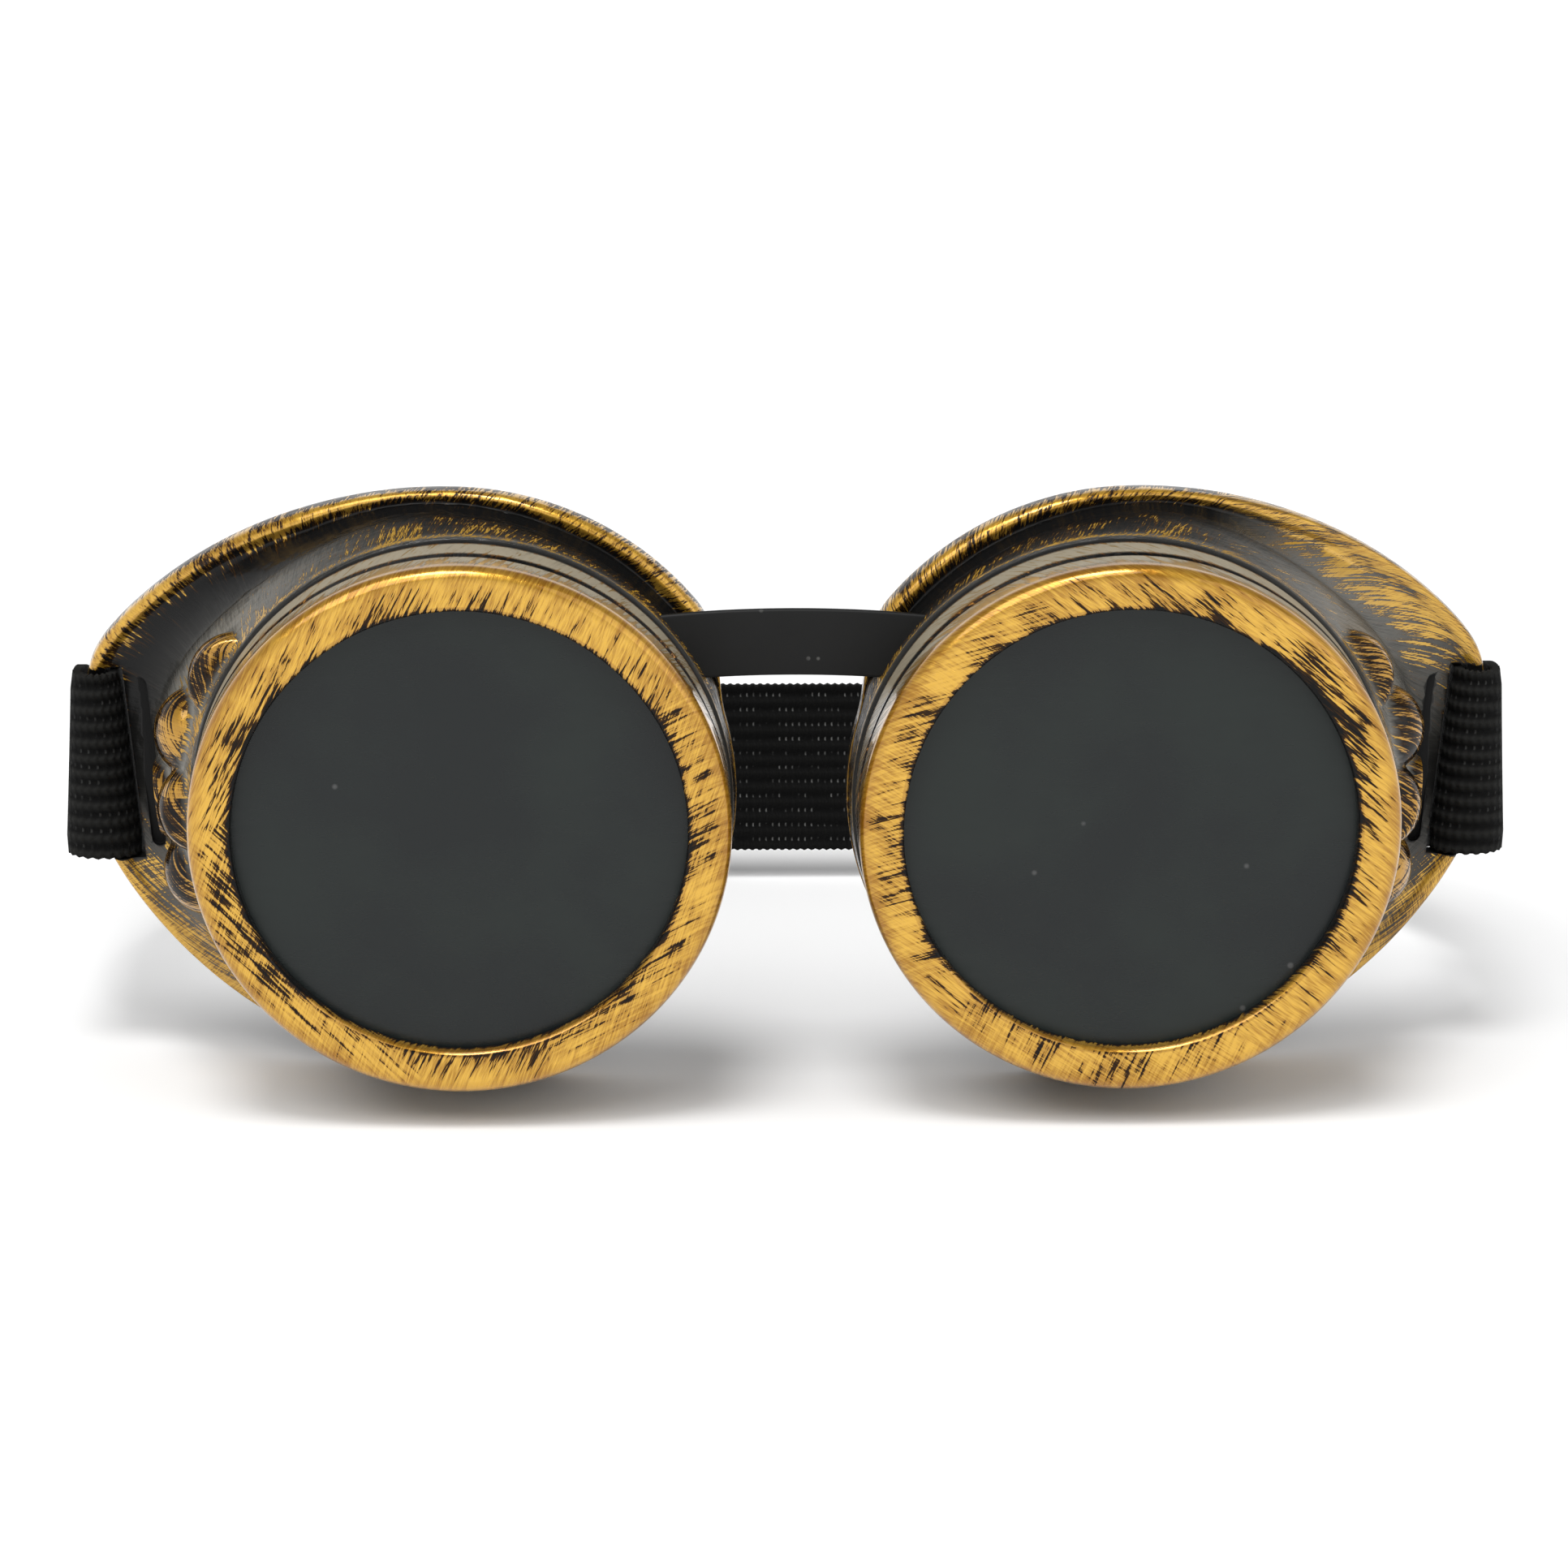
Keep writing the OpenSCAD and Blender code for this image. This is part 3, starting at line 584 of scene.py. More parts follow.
class Wire:
    """An output socket. Arithmetic on it adds Math nodes, and sine takes it as radians."""

    def __init__(self, finish, socket):
        self.finish = finish
        self.socket = socket

    __add__ = __radd__ = maths("ADD")
    __mul__ = __rmul__ = maths("MULTIPLY")
    __sub__, __rsub__ = maths("SUBTRACT"), maths("SUBTRACT", True)
    __abs__, sine = maths("ABSOLUTE"), maths("SINE")


class Finish:
    """A material under construction on one Principled shader, or a world on its background."""

    def __init__(self, name, world=None):
        self.owner = world or bpy.data.materials.new(name)
        self.owner.use_nodes = True
        self.tree = self.owner.node_tree
        self.shader = self.tree.nodes["Background" if world else "Principled BSDF"]

    def node(self, kind, inputs={}, out=0, **settings):
        """Any shader node: its settings first, then its sockets by name or number, then one output."""
        made = self.tree.nodes.new("ShaderNode" + kind)
        for key, value in settings.items():
            setattr(made, key, value)
        for key, value in inputs.items():
            self.feed(made.inputs[key], value)
        return Wire(self, made.outputs[out])

    def feed(self, socket, value):
        """Link a wire to a socket, or set the socket's own value."""
        if isinstance(value, Wire):
            self.tree.links.new(value.socket, socket)
        elif socket.type == "RGBA" and len(value) == 3:
            socket.default_value = (*value, 1)
        else:
            socket.default_value = value

    def set(self, **sockets):
        """Values or wires for the shader, named with _ for a space."""
        for key, value in sockets.items():
            self.feed(self.shader.inputs[key.replace("_", " ")], value)
        return self.owner

    def mix(self, factor, a, b):
        """Colour from a to b."""
        return self.node("Mix", {0: factor, 6: a, 7: b}, 2, data_type="RGBA")

    def step(self, value, low, high):
        """Smooth step of a value from low to high."""
        inputs = {"Value": value, "From Min": low, "From Max": high}
        return self.node("MapRange", inputs, interpolation_type="SMOOTHSTEP")

    def mark(self, name):
        """A named value of the piece's points."""
        return self.node("Attribute", out="Fac", attribute_name=name)

    def place(self):
        """The piece's own coordinates, in metres."""
        return self.node("TexCoord", out="Object")

    def split(self, vector):
        """The three parts of a vector as wires."""
        parts = self.node("SeparateXYZ", {0: vector})
        return [Wire(self, part) for part in parts.socket.node.outputs]

    def spread(self, around, along):
        """The piece's own UV as two wires, in millimetres."""
        u, v, _ = self.split(self.node("UVMap", uv_map="brush"))
        return u * around, v * along

    def plane(self):
        """Place across the front as two wires, in millimetres, with some depth in the second."""
        x, y, z = (part * 1000 for part in self.split(self.place()))
        return x, z + y * 0.6

    def cloud(self, where, scale, detail=3, rough=0.5):
        """Noise over a place."""
        inputs = {"Vector": where, "Scale": scale, "Detail": detail, "Roughness": rough}
        return self.node("TexNoise", inputs)

    def specks(self, where, scale, low, high):
        """Specks of dust: 1 nearer than low to the middle of a cell, 0 farther off than high."""
        cells = self.node("TexVoronoi", {"Vector": where, "Scale": scale})
        return 1 - self.step(cells, low, high)

    def noise(self, x, y, z, detail=2):
        """Noise over three coordinates that are already scaled."""
        return self.cloud(self.node("CombineXYZ", {0: x, 1: y, 2: z}), 1, detail, 0.55)

    def strokes(self, u, v, angle, long, wide, seed):
        """Brush strokes: noise stretched to long by wide millimetres at an angle to u."""
        c, s = cos_sin(angle)
        run = u * (c / long) + v * (s / long)
        side = v * (c / wide) - u * (s / wide)
        return self.noise(run, side, seed)

    def relief(self, height, depth):
        """Normal from a height, depth in millimetres."""
        return self.node("Bump", {"Height": height, "Strength": 1, "Distance": depth * MM})


def shade(rgb, *factors):
    """A colour times one factor or three, at most 1."""
    return tuple(np.minimum(np.array(rgb) * factors, 1))


def brushed_gold(name, colours, thin, seed, angles, wide, gloss, sheet=None):
    """Gold brushed over black plastic, in strokes that thin out where the gold mark is low.

    The strokes run in up to three directions, chosen by the marks second and third. They lie in the
    piece's own UV where sheet gives its size in millimetres, and otherwise in the plane of the lenses.
    """
    f = Finish(name)
    u, v = f.spread(*sheet) if sheet else f.plane()
    gold, amber, dust = f.mark("gold"), f.mark("amber"), f.mark("dust")
    patch = f.noise(u * 0.2, v * 0.2, seed + 0.5, 3)
    stray = (f.noise(u * 0.12, v * 0.12, seed + 3.5, 1) - 0.5) * 1.2
    fields = [f.strokes(u, v, angle, 4.6, wide, seed + 7.5 + k) for k, angle in enumerate(angles)]
    stroke = fields[0]
    for key, field in zip(("second", "third"), fields[1:]):
        stroke = stroke + (field - stroke) * f.step(f.mark(key) + stray, 0.42, 0.58)
    fine = f.strokes(u, v, angles[0] + 9, 2.4, wide * 0.5, seed + 15.5)
    level = gold + (stroke - 0.5) * 2.1 + (patch - 0.5) * 1.3 + (fine - 0.5) * 0.8
    paint = f.step(level, 0.45, 0.52)
    tone = f.step(patch * 0.5 + stroke * 0.5 + (fine - 0.5) * 0.5, 0.36, 0.66)
    pale, deep = shade(colours.gold, 1.25, 1.3, 1.6), shade(colours.gold, 0.62, 0.5, 0.3)
    leaf = f.mix(amber, f.mix(tone, deep, pale), colours.amber)
    # grey: thin grey paint by the dust mark over the black plastic, standing in as a painted reflection
    # of the pale surroundings.
    grey = f.mix(dust * (f.step(level, -0.5, 0.4) * 0.5 + 0.5), colours.plastic, thin)
    brown = f.step(level, 0.1, 0.48) * (1 - dust) * 0.75
    under = f.mix(brown, grey, shade(colours.amber, 0.18))
    deep_line = 1 - f.step(gold, -0.95, -0.6)
    return f.set(
        Base_Color=f.mix(paint * (1 - dust * 0.4), under, leaf),
        Roughness=0.12 + paint * 0.12 + dust * 0.16 + deep_line * 0.6 + (fine - 0.5) * 0.12,
        Metallic=paint * 0.6,
        Normal=f.relief(paint * 0.6 + fine * 0.4 + patch * 4, 0.05),
        Coat_Weight=paint * 0.8,
        Coat_Roughness=0.08,
        Specular_IOR_Level=gloss,
    )


def lens_finish(colours):
    """Dark satin lens with faint wiping marks and a few specks of dust."""
    f = Finish("dark_lens")
    where = f.place()
    cloud = f.cloud(where, 55, 4)
    slant = {"Vector": where, "Scale": (1, 1, 5), "Rotation": (0, 0.7, 0)}
    wipe = f.cloud(f.node("Mapping", slant), 260)
    speck = f.specks(where, 120, 0.02, 0.05)
    base = f.mix(f.step(cloud, 0.35, 0.65), colours.lens, shade(colours.lens, 1.6, 1.65, 1.45))
    smear = f.step(cloud + (wipe - 0.5) * 0.5, 0.4, 0.75)
    return f.set(
        Base_Color=f.mix(speck * 0.5, base, (0.12, 0.12, 0.12)),
        Roughness=0.26 + smear * 0.14,
        Specular_IOR_Level=0.33,
    )


ROW_PITCH, BLOCK_PITCH = 1.76, 0.76


def woven_finish(name, colours, run, width):
    """Woven elastic: rows along the strap, each of small blocks, with pale flecks between them, and
    painted shade that darkens the weave along the rear run.
    """
    f = Finish(name)
    u, v = f.spread(run, width)
    rows = (v * (2 * np.pi / ROW_PITCH)).sine()
    blocks = (u * (2 * np.pi / BLOCK_PITCH) + rows * 0.9).sine()
    fuzz = f.noise(u * 2.2, v * 2.2, 4.5, 3)
    weave = rows * 0.6 + blocks * 0.2 * (rows * 0.4 + 0.6) + fuzz * 0.4
    valley = f.step(0 - rows, 0.55, 0.95) * f.step(blocks, 0.55, 0.95)
    fleck = valley * f.step(f.noise(u * 0.5, v * 0.6, 9.5, 1), 0.42, 0.62)
    # Painted shade: unshaded_ends is 0 at the middle of each piece's length, the rear run of the main
    # strap, and 1 towards its ends; the weave is painted darker towards the middle and its pale flecks
    # show more there.
    unshaded_ends = f.step(abs(u * (1 / run) - 0.5), 0.15, 0.35)
    high = f.step(weave, -0.35, 0.9) * (unshaded_ends * 0.75 + 0.25)
    base = f.mix(high, shade(colours.elastic, 0.25), shade(colours.elastic, 3))
    return f.set(
        Base_Color=f.mix(fleck * (0.65 - unshaded_ends * 0.5), base, (0.16, 0.16, 0.155)),
        Roughness=0.82 + (fuzz - 0.5) * 0.2,
        Normal=f.relief(weave, 0.42),
        Specular_IOR_Level=0.12,
    )


def moulded_finish(name, base, rough, specks):
    """Moulded plastic or rubber with a fine grain and a few pale specks of dust."""
    f = Finish(name)
    where = f.place()
    grain, cloud = f.cloud(where, 900), f.cloud(where, 110)
    speck = f.specks(where, 420, 0.05, 0.12) * f.step(cloud, 0.5, 0.62) * specks
    tone = f.mix(f.step(cloud, 0.3, 0.7), shade(base, 0.8), shade(base, 1.25))
    return f.set(
        Base_Color=f.mix(speck, tone, (0.2, 0.2, 0.19)),
        Roughness=rough + (cloud - 0.5) * 0.2,
        Normal=f.relief(grain, 0.02),
        Specular_IOR_Level=0.24,
    )


def clear_finish():
    """Clear cover lens with a trace of haze."""
    f = Finish("clear_lens")
    haze = f.cloud(f.place(), 90, 4)
    return f.set(
        Base_Color=(0.94, 0.96, 0.96),
        Roughness=0.02 + f.step(haze, 0.45, 0.8) * 0.06,
        Transmission_Weight=1,
        IOR=1.49,
    )


def dress(obj, material, body, replaced=()):
    """Give a new piece its material, its body and the nodes that it stands for."""
    obj.data.materials.append(material)
    if body:
        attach(obj, body)
    if replaced:
        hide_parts(*replaced)


def paint_node(node, material):
    """Give a CAD node that stays a better material."""
    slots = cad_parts[node].material_slots
    for entry in slots:
        entry.material = material
    if not slots:
        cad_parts[node].data.materials.append(material)


class GOGGLES_OT_rings(Operator):
    """Screw-on lens rings, turned, with their threads"""

    bl_idname = "goggles.rings"
    bl_label = "Lens rings"

    def execute(self, context):
        m = measures(context)
        rows = ring_profile(m)
        turn = np.linspace(0, 360, RING_STATIONS, endpoint=False)[:, None]
        for side, name in SIDES.items():
            seen = turn if side == RIGHT else 180 - turn
            angles, second, third, wear = RING_BRUSH[side]
            finish = brushed_gold(
                f"{name}_ring_gold", m.colours, m.colours.pewter, 10 + side * 5, angles, 0.28, 0.12
            )
            # Painted highlight: the rows round the hole's front edge get more gold at the bottom of each
            # ring, where the edge faces up into the light.
            hole_edge_highlight = (rows[:, 0] < m.hole_r + EDGE) & (rows[:, 1] < LIP_T)
            marks = {
                "gold": rows[:, 2] - 0.19 * bump(seen, *wear) + hole_edge_highlight * bump(seen, -90, 75),
                "amber": rows[:, 3],
                # Less of that grey, a painted reflection, towards the nose side a little below the
                # middle.
                "dust": rows[:, 4] * (1 - 0.9 * bump(turn, 195, 60)),
                "second": np.sqrt(bump(seen, *second)),
                "third": np.sqrt(bump(seen, *third)),
            }
            ring = revolved(f"{name}_lens_ring", rows[:, :2], marks, side, RING_STATIONS)
            dress(ring, finish, f"{name}_bezel", [f"{name}_ring"])
            start = NECK_AT + RIDGE_W + EDGE - PITCH / 2 + RING_PLAY
            thread = ridge(f"{name}_ring_thread", ROOT_R + SINK, POCKET_R, start, m.ring_len, side)
            dress(thread, finish, f"{name}_bezel")
        return {"FINISHED"}


class GOGGLES_OT_cups(Operator):
    """Eyecups with rolled rim, ear slot, vent domes and threaded neck"""

    bl_idname = "goggles.cups"
    bl_label = "Eyecups"

    def execute(self, context):
        m = measures(context)
        plain = moulded_finish("cup_plastic", m.colours.plastic, 0.35, 0.1)
        for side, name in SIDES.items():
            angles = (82, 29) if side == LEFT else (98, 134, 34)
            finish = brushed_gold(
                f"{name}_cup_gold", m.colours, m.colours.ash, 30 + side * 5, angles, 0.2, 0.2, CUP_SHEET
            )
            body = CUP_BODY[side]
            shell = cup_shell(m, side)
            dress(shell, finish, body, [f"{name}_cup"])
            shell.data.materials.append(plain)
            dress(cup_neck(m, side), finish, body)
            start = NECK_AT + RIDGE_W / 2 + EDGE
            thread = ridge(f"{name}_neck_thread", NECK_R - SINK, CREST_R, start, m.shoulder_at, side)
            dress(thread, plain, body)
        return {"FINISHED"}


class GOGGLES_OT_lenses(Operator):
    """Finishes of the dark lenses, cover lenses, gaskets and bridge pins"""

    bl_idname = "goggles.lenses"
    bl_label = "Lenses and gaskets"

    def execute(self, context):
        colours = measures(context).colours
        finishes = {
            "dark_lens": lens_finish(colours),
            "clear_lens": clear_finish(),
            "gasket": moulded_finish("gasket_rubber", colours.plastic, 0.7, 0.2),
            "bridge_pin": moulded_finish("pin_plastic", colours.bridge, 0.45, 0.2),
        }
        for name in SIDES.values():
            for piece, finish in finishes.items():
                paint_node(f"{name}_{piece}", finish)
        return {"FINISHED"}


class GOGGLES_OT_bridge(Operator):
    """Flexible nose bridge between the cups"""

    bl_idname = "goggles.bridge"
    bl_label = "Nose bridge"

    def execute(self, context):
        m = measures(context)
        half = node_box("nose_bridge")[1][0] - EDGE
        x = np.linspace(-half, half, 90)[:, None]
        section = rounded_section(m.bridge_t, m.bridge_h, 0.35)
        arch = AXIS_Z + BRIDGE_UP + BRIDGE_RISE * (1 - (x / half) ** 2)
        depth = BRIDGE_AT + m.bridge_t / 2 + section[:, 0]
        strip = lay_grid("bridge_strip", plan_to_world(x, depth, arch + section[:, 1]))
        finish = moulded_finish("bridge_rubber", m.colours.bridge, 0.5, 0.5)
        dress(strip, finish, None, ["nose_bridge"])
        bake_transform(strip)
        return {"FINISHED"}


def progress(m, depth):
    """Share of the way from the ear to the back of the strap at a depth beside the head."""
    return (depth - m.loop_at) / m.run_len


def side_tilt(m, depth):
    """Lean of the strap beside the head in degrees, which fades from the ear to the corner."""
    return -SIDE_LEAN * (1 - smooth((depth - m.loop_at) / SIDE_LEN))


def beside(m, x, depth):
    """Rows of [x, depth, progress, lean] of the elastic, along one x beside the head."""
    return stacked(x, depth, progress(m, depth), side_tilt(m, depth))


def strap_height(m, share):
    """Height of the strap's middle: it falls by the squared sine of a power of share, a quarter turn."""
    way = np.clip(share, 0, 1) ** DROP_POWER
    return AXIS_Z + (m.slider_h / 2 - AXIS_Z) * np.sin(np.pi / 2 * way) ** 2


def strap_side(m, inset, start):
    """Elastic along the right side from depth start and round the corner, inset from the outer layer."""
    straight = beside(m, m.side_x - inset, np.linspace(start, m.corner_at, 120))
    a = np.linspace(0, np.pi / 2, 300)[1:]
    r = CORNER_R - inset
    share = (SIDE_LEN + CORNER_R * a) / m.run_len
    corner = stacked(m.side_x - CORNER_R + r * np.cos(a), m.corner_at + r * np.sin(a), share, 0)
    return np.concatenate([straight, corner])


def strap_merge(m):
    """Elastic that leaves the right ear slot and comes to lie inside the outer layer."""
    q = np.linspace(0, 1, 60)
    d = m.loop_at + SLOT_RUN + (MERGE_RUN - SLOT_RUN) * q
    s = smooth(q)
    x = m.slot_x + (m.side_x - LAYER - m.slot_x) * s
    lean = SLOT_LEAN * (1 - s) + side_tilt(m, d) * s
    return stacked(x, d, progress(m, d), lean)


def strap_loop(m):
    """Elastic forward through the right ear slot and round the bar outside it."""
    d = np.linspace(m.loop_at + SLOT_RUN, m.loop_at, 20)
    straight = stacked(m.slot_x, d, progress(m, d), SLOT_LEAN)
    a = np.linspace(np.pi, 0, 40)[1:]
    lean = SLOT_LEAN * a / np.pi - SIDE_LEAN * (1 - a / np.pi)
    middle = (m.slot_x + m.side_x) / 2
    turn = stacked(middle + m.loop_r * np.cos(a), m.loop_at - m.loop_r * np.sin(a), 0, lean)
    return np.concatenate([straight, turn])


SCALLOP, SCALLOP_STEP, WEAVE_STEP = 0.1, 0.87, 0.22
TO_LEFT = (-1, 1, 1, 1)


def ribbon(name, m, rows):
    """Elastic: a flat section with scalloped edges carried along such rows, in even steps."""
    gap = np.linalg.norm(np.diff(rows[:, :2], axis=0), axis=1)
    keep = np.append(True, gap > 1e-6)
    given = np.append(0, np.cumsum(gap))[keep]
    run = np.linspace(0, given[-1], int(given[-1] / WEAVE_STEP) + 1)
    x, depth, share, lean = (np.interp(run, given, column) for column in rows[keep].T)
    ahead = np.gradient(stacked(x, depth), axis=0)
    ahead /= np.linalg.norm(ahead, axis=1, keepdims=True)
    w = np.linspace(-1, 1, 12)
    swell = np.array([0.7] + [1] * 10 + [0.7])
    up = np.concatenate([w, w[::-1]]) * (m.strap_w / 2)
    out = np.concatenate([swell, -swell[::-1]]) * (m.strap_t / 2)
    at_edge = np.abs(up) > 0.98 * m.strap_w / 2
    scallop = SCALLOP * np.sin(2 * np.pi * run / SCALLOP_STEP)[:, None] * at_edge
    rise = up - np.sign(up) * SCALLOP + scallop * np.sign(up)
    tilt = np.radians(lean)[:, None]
    px = x[:, None] - ahead[:, 1:] * out + np.sign(x)[:, None] * np.sin(tilt) * rise
    pd = depth[:, None] + ahead[:, :1] * out
    grid = plan_to_world(px, pd, strap_height(m, share)[:, None] + np.cos(tilt) * rise)
    uv = stacked((run / run[-1])[:, None], up / m.strap_w + 0.5)
    return lay_grid(name, grid, np.concatenate([uv, uv[:, :1]], 1)), run[-1]


class GOGGLES_OT_strap(Operator):
    """Woven elastic head strap, doubled on the left up to the adjuster"""

    bl_idname = "goggles.strap"
    bl_label = "Head strap"

    def execute(self, context):
        m = measures(context)
        depth = m.loop_at + np.linspace(TAIL_LEN, MERGE_RUN, 40)
        tail = beside(m, m.side_x - LAYER, depth)
        half = np.concatenate([strap_loop(m), strap_side(m, 0, m.loop_at)])
        band_rows = np.concatenate([tail, strap_merge(m)[::-1], half, half[::-1] * TO_LEFT])
        inner = strap_side(m, LAYER, m.loop_at + MERGE_RUN)
        return_rows = np.concatenate([strap_merge(m), inner]) * TO_LEFT
        a = np.radians(np.linspace(90, -90, 40))
        r = m.wrap_r
        wrap = stacked(SLIDER_X + r * np.cos(a), m.mid_bar_at + r * np.sin(a), 1, 0)
        q = np.linspace(0, 1, 30)[1:]
        bend_at = m.mid_bar_at - r + (2 * r - LAYER) * smooth(q)
        bend = stacked(SLIDER_X - HEM_BEND * q, bend_at, 1, 0)
        hem = np.array([[SLIDER_X - HEM_LEN, m.back_at - 2 * LAYER, 1, 0]])
        back_rows = np.concatenate([return_rows[-1:], wrap, bend, hem])
        ear = plan_to_world(-m.side_x, m.loop_at + EAR_HOLD, AXIS_Z)
        rear = plan_to_world(CORNER_R - m.side_x, m.back_at, AXIS_Z)
        stop = plan_to_world(SLIDER_X - HEM_LEN * 0.1, m.back_at, AXIS_Z)
        stretches = (
            ("strap_main_run", band_rows, "strap_band", "left_eyecup", "main", ear, rear),
            ("strap_inner_run", return_rows, "strap_return", "left_eyecup", "main", ear, rear),
            ("strap_hem", back_rows, "strap_return", "main", "adjuster", rear, stop),
        )
        for name, rows, node, first, second, start, end in stretches:
            piece, run = ribbon(name, m, rows)
            weave = woven_finish(f"{name}_weave", m.colours, run, m.strap_w)
            dress(piece, weave, None, [node])
            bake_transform(piece)
        return {"FINISHED"}


def bar(name, centre, size, corner, axis):
    """Straight bar with a rounded section and softened ends, along axis 0 or 2, in millimetres."""
    far, wide, tall = size[axis], size[1], size[2 - axis]
    q = np.array([0, 0.35, 0.75, 1])
    ends = corner * (1 - np.sqrt(1 - (1 - q) ** 2))
    along = np.concatenate([corner * q - far / 2, far / 2 - corner * q[::-1]])[:, None]
    inset = np.concatenate([ends, ends[::-1]])[:, None, None]
    ring = rounded_section(wide, tall, corner * 0.98) * (1 - 2 * inset / np.array([wide, tall]))
    parts = along, ring[..., 0], ring[..., 1]
    return lay_grid(name, (stacked(*(parts if axis == 0 else parts[::-1])) + centre) * MM)


class GOGGLES_OT_adjuster(Operator):
    """Strap adjuster: two rails, two end bars and the middle bar"""

    bl_idname = "goggles.adjuster"
    bl_label = "Adjuster"

    def execute(self, context):
        m = measures(context)
        low, high = node_box("strap_slider")
        x, y, z = (low + high) / 2
        size = high - low
        finish = moulded_finish("adjuster_plastic", m.colours.bridge, 0.4, 0.3)
        rail = (SLIDER_LEN, size[1], RAIL_H)
        end = (END_BAR_W, END_BAR_T, size[2] - 1)
        middle = (MID_BAR_D, MID_BAR_D, size[2] - 1)
        end_y = high[1] - END_BAR_T / 2
        shift = (SLIDER_LEN - END_BAR_W) / 2
        for name, *shape in (
            ("low_rail", (x, y, low[2] + RAIL_H / 2), rail, 0.7, 0),
            ("top_rail", (x, y, high[2] - RAIL_H / 2), rail, 0.7, 0),
            ("left_bar", (x - shift, end_y, z), end, 0.5, 2),
            ("right_bar", (x + shift, end_y, z), end, 0.5, 2),
            ("middle_bar", (SLIDER_X, m.mid_bar_at + FRONT_Y, z), middle, 0.95, 2),
        ):
            replaced = ["strap_slider"] if name == "low_rail" else ()
            dress(bar(f"adjuster_{name}", *shape), finish, "adjuster", replaced)
        return {"FINISHED"}


def stitch_row(name, x, depth, tops, out):
    """Thread of one row: a round section along a line that dips into the elastic between stitches.

    tops are the heights of its stitches, and out is the way that they stand out.
    """
    z = np.linspace(tops[0] - STITCH_STEP / 2, tops[-1] + STITCH_STEP / 2, 28 * len(tops))
    phase = (z - tops[0]) / STITCH_STEP
    proud = 0.3 * np.cos(np.pi * (phase - np.round(phase))) ** 0.6 - 0.26
    a = np.linspace(0, 2 * np.pi, 8, endpoint=False)
    r = THREAD_D / 2 * 0.8
    lift, aside = proud[:, None] + r * np.cos(a), r * np.sin(a)
    px, pd = x + out[0] * lift - out[1] * aside, depth + out[1] * lift + out[0] * aside
    return lay_grid(name, plan_to_world(px, pd, z[:, None]))


class GOGGLES_OT_stitching(Operator):
    """Sewn rows at the right ear loop and at the adjuster"""

    bl_idname = "goggles.stitching"
    bl_label = "Stitching"

    def execute(self, context):
        m = measures(context)
        thread = shade(m.colours.elastic, 1.8)
        finish = moulded_finish("sewing_thread", thread, 0.7, 0.1)
        offsets = (np.arange(STITCH_COUNT) - (STITCH_COUNT - 1) / 2) * STITCH_STEP
        half = m.strap_t / 2
        for row in range(2):
            inset = THREAD_D * 3 + row * ROW_STEP
            depth = m.loop_at + TAIL_LEN - inset
            tops = strap_height(m, progress(m, depth)) + offsets
            hem_x, hem_at = SLIDER_X - HEM_LEN + inset, m.back_at - 2 * LAYER - half
            hem_tops = m.slider_h / 2 + offsets
            for name, body, node, *place in (
                ("loop_stitches_out", "main", ["loop_stitching"], m.side_x + half, depth, tops, (1, 0)),
                ("loop_stitches_in", "main", (), m.side_x - LAYER - half, depth, tops, (-1, 0)),
                ("hem_stitches", "adjuster", ["slider_stitching"], hem_x, hem_at, hem_tops, (0, -1)),
            ):
                piece = stitch_row(f"{name}_{row}", *place)
                dress(piece, finish, body, node if row == 0 else ())
        return {"FINISHED"}


VIEW_DISTANCE = 600
VIEW_ELEVATION = 15.5
VIEW_LEFT = 1.75
VIEW_ROLL = -0.28
PIXELS_PER_MM = 12.226
PICTURE = 1932
LOOK_SHIFT = (15.3, 61.5)
SKY_LOW, SKY_HIGH, SKY_DIM, SKY_LIGHT = 0.15, 0.75, 0.14, 0.52
LAMPS = (
    ("key", (-0.35, -0.5, 0.9), 50, 1.5),
    ("fill", (0.7, -0.5, 0.6), 50, 0.5),
    ("top", (-0.1, -0.3, 1), 20, 1.1),
)
FLOOR_HALF = 3


def facing(place, way):
    """Matrix of a camera or lamp at a place that looks along a way."""
    return Matrix.Translation(place) @ way.to_track_quat("-Z", "Y").to_matrix().to_4x4()


def aim_camera(context):
    """Camera at the photograph's angle, with the ring fronts' middle LOOK_SHIFT pixels off centre."""
    data = bpy.data.cameras.new("photo_camera")
    focal = PIXELS_PER_MM * VIEW_DISTANCE
    data.lens = data.sensor_width * focal / PICTURE
    camera = add_object("photo_camera", data)
    level, drop = cos_sin(VIEW_ELEVATION)
    onward, aside = cos_sin(VIEW_LEFT)
    ahead = Vector((aside * level, onward * level, -drop))
    target = Vector((0, FRONT_Y * MM, AXIS_Z * MM))
    turn = facing(target - ahead * VIEW_DISTANCE * MM, ahead)
    right, down = np.arctan2(LOOK_SHIFT, focal)
    for angle, axis in ((right, "Y"), (down, "X"), (np.radians(-VIEW_ROLL), "Z")):
        turn = turn @ Matrix.Rotation(angle, 4, axis)
    camera.matrix_world = turn
    context.scene.camera = camera


def soft_light(name, place, width, strength):
    """Far soft lamp that shines from a place towards the origin, width in degrees."""
    data = bpy.data.lights.new(name, "SUN")
    data.angle = np.radians(width)
    data.energy = strength
    add_object(name, data).matrix_world = facing(Vector(place), -Vector(place))


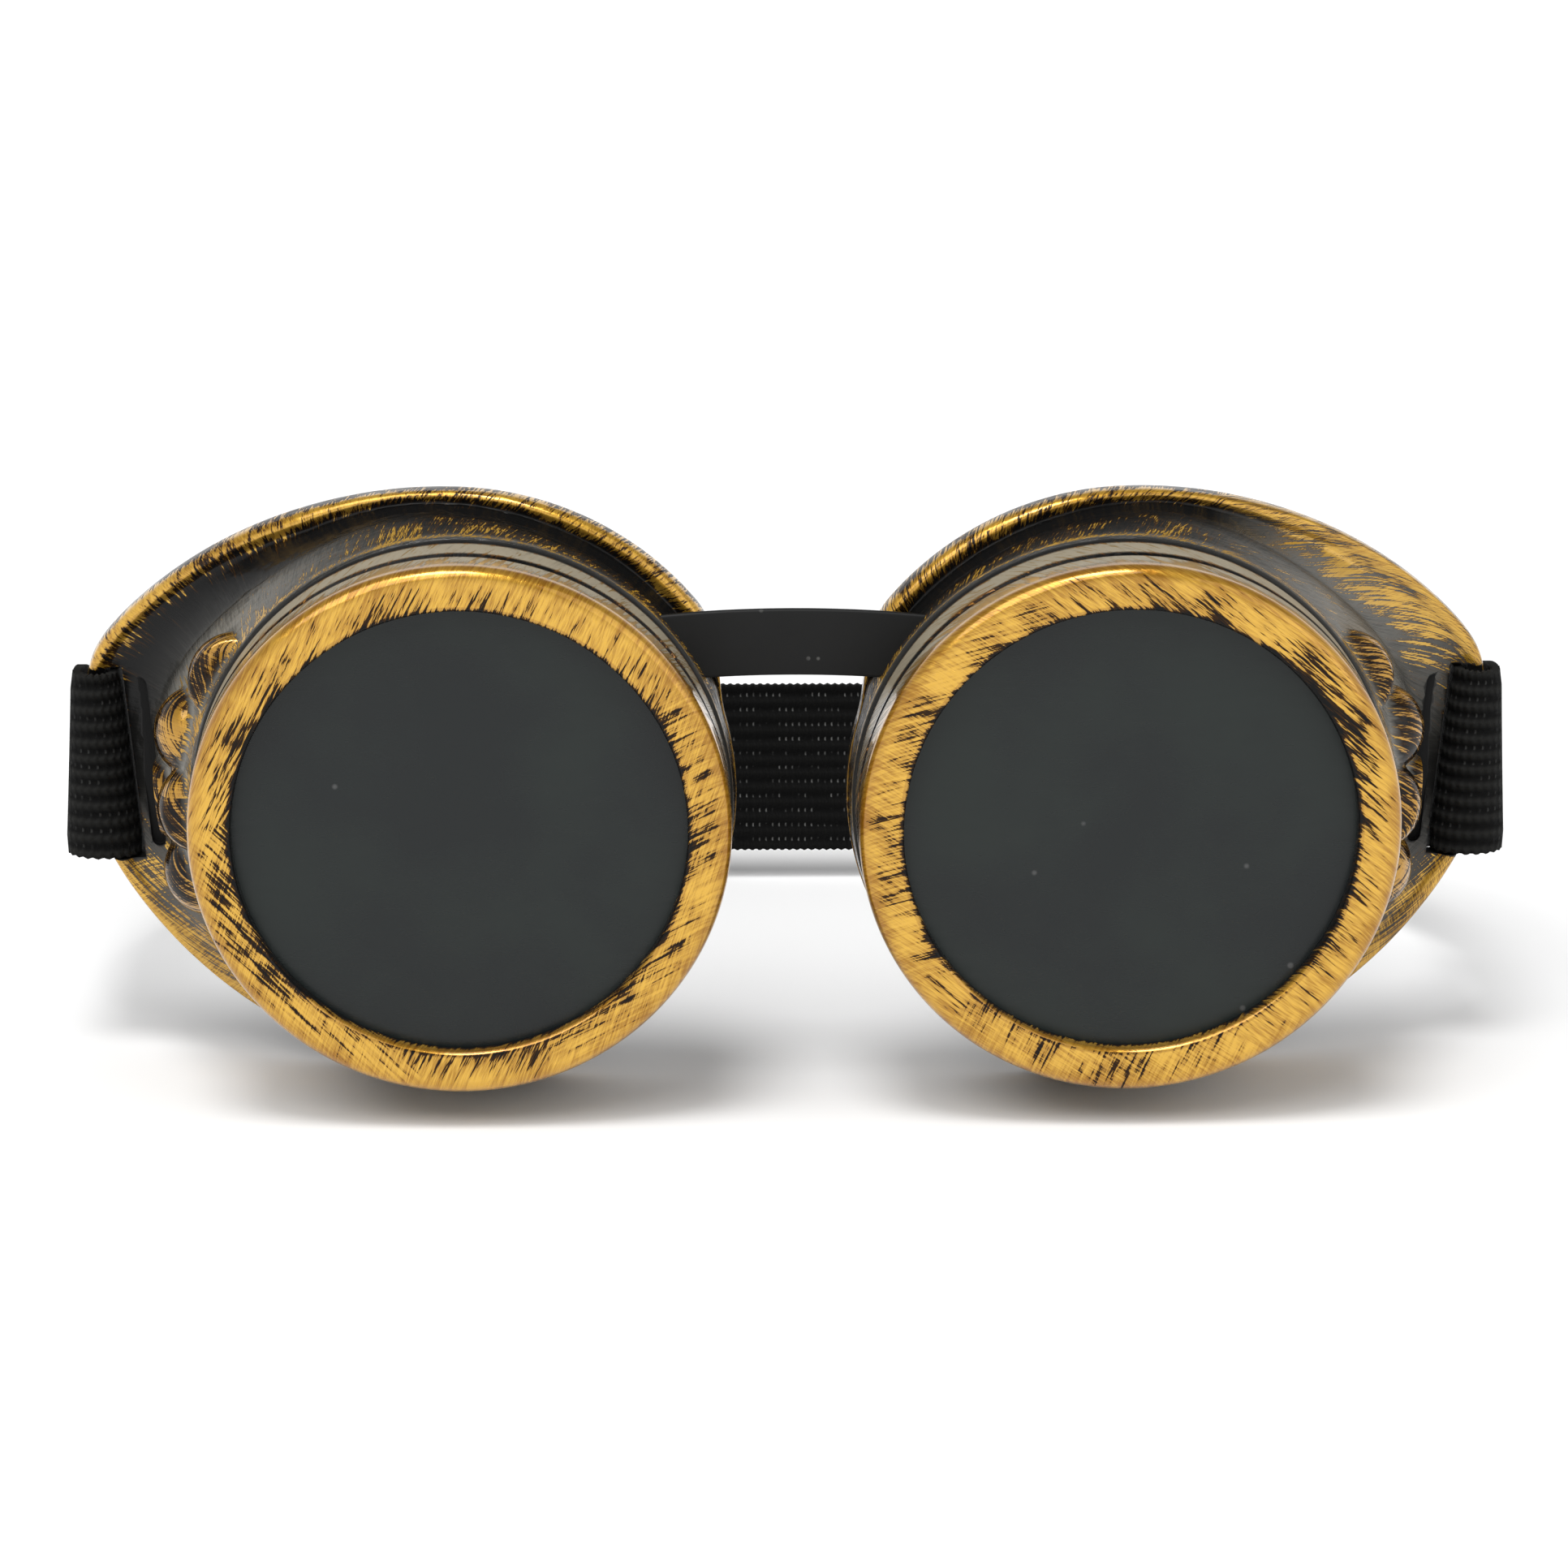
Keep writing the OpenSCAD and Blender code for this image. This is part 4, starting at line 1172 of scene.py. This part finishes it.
def light_sky(context):
    """Even pale sky, white to the camera and to reflections near the horizon, and darker overhead."""
    context.scene.world = bpy.data.worlds.new("studio")
    f = Finish("studio", context.scene.world)
    kinds = ("Camera", "Glossy", "Transmission")
    seen = f.step(sum(f.node("LightPath", out=f"Is {kind} Ray") for kind in kinds), 0, 1)
    up = f.split(f.node("TexCoord", out="Generated"))[2]
    white = 1 - f.step(up, SKY_LOW, SKY_HIGH) * (1 - SKY_DIM)
    f.set(Color=(1, 1, 1), Strength=(white - SKY_LIGHT) * seen + SKY_LIGHT)


class GOGGLES_OT_stage(Operator):
    """Pale floor, soft studio light and the camera"""

    bl_idname = "goggles.stage"
    bl_label = "Stage"

    def execute(self, context):
        aim_camera(context)
        light_sky(context)
        for lamp in LAMPS:
            soft_light(*lamp)
        mesh = bpy.data.meshes.new("floor")
        ends = (-FLOOR_HALF, FLOOR_HALF)
        mesh.from_pydata([(x, y, 0) for x in ends for y in ends], [], [(0, 2, 3, 1)])
        floor = add_object("floor", mesh)
        f = Finish("pale_floor")
        tone = context.scene.goggles_colours.floor
        pale = f.mix(f.cloud(f.place(), 3, 2), tone, shade(tone, 0.98))
        mesh.materials.append(f.set(Base_Color=pale, Roughness=0.9, Specular_IOR_Level=0.1))
        context.scene.view_settings.view_transform = "Standard"
        return {"FINISHED"}


STEPS = (
    GOGGLES_OT_stage,
    GOGGLES_OT_cups,
    GOGGLES_OT_rings,
    GOGGLES_OT_lenses,
    GOGGLES_OT_bridge,
    GOGGLES_OT_strap,
    GOGGLES_OT_adjuster,
    GOGGLES_OT_stitching,
)


class GOGGLES_PT_panel(Panel):
    """Sizes, colours and steps of the goggles"""

    bl_idname = "GOGGLES_PT_panel"
    bl_label = "Goggles"
    bl_space_type = "VIEW_3D"
    bl_region_type = "UI"
    bl_category = "Goggles"

    def draw(self, context):
        for group in (context.scene.goggles_sizes, context.scene.goggles_colours):
            box = self.layout.box()
            for key in type(group).__annotations__:
                box.prop(group, key)
        for step in STEPS:
            self.layout.operator(step.bl_idname)


CLASSES = (GogglesSizes, GogglesColours, *STEPS, GOGGLES_PT_panel)


def register():
    for item in CLASSES:
        bpy.utils.register_class(item)
    bpy.types.Scene.goggles_sizes = PointerProperty(type=GogglesSizes)
    bpy.types.Scene.goggles_colours = PointerProperty(type=GogglesColours)


def unregister():
    del bpy.types.Scene.goggles_colours
    del bpy.types.Scene.goggles_sizes
    for item in reversed(CLASSES):
        bpy.utils.unregister_class(item)


def main():
    register()
    for step in STEPS:
        getattr(bpy.ops.goggles, step.bl_idname.split(".")[1])()


if __name__ == "__main__":
    main()
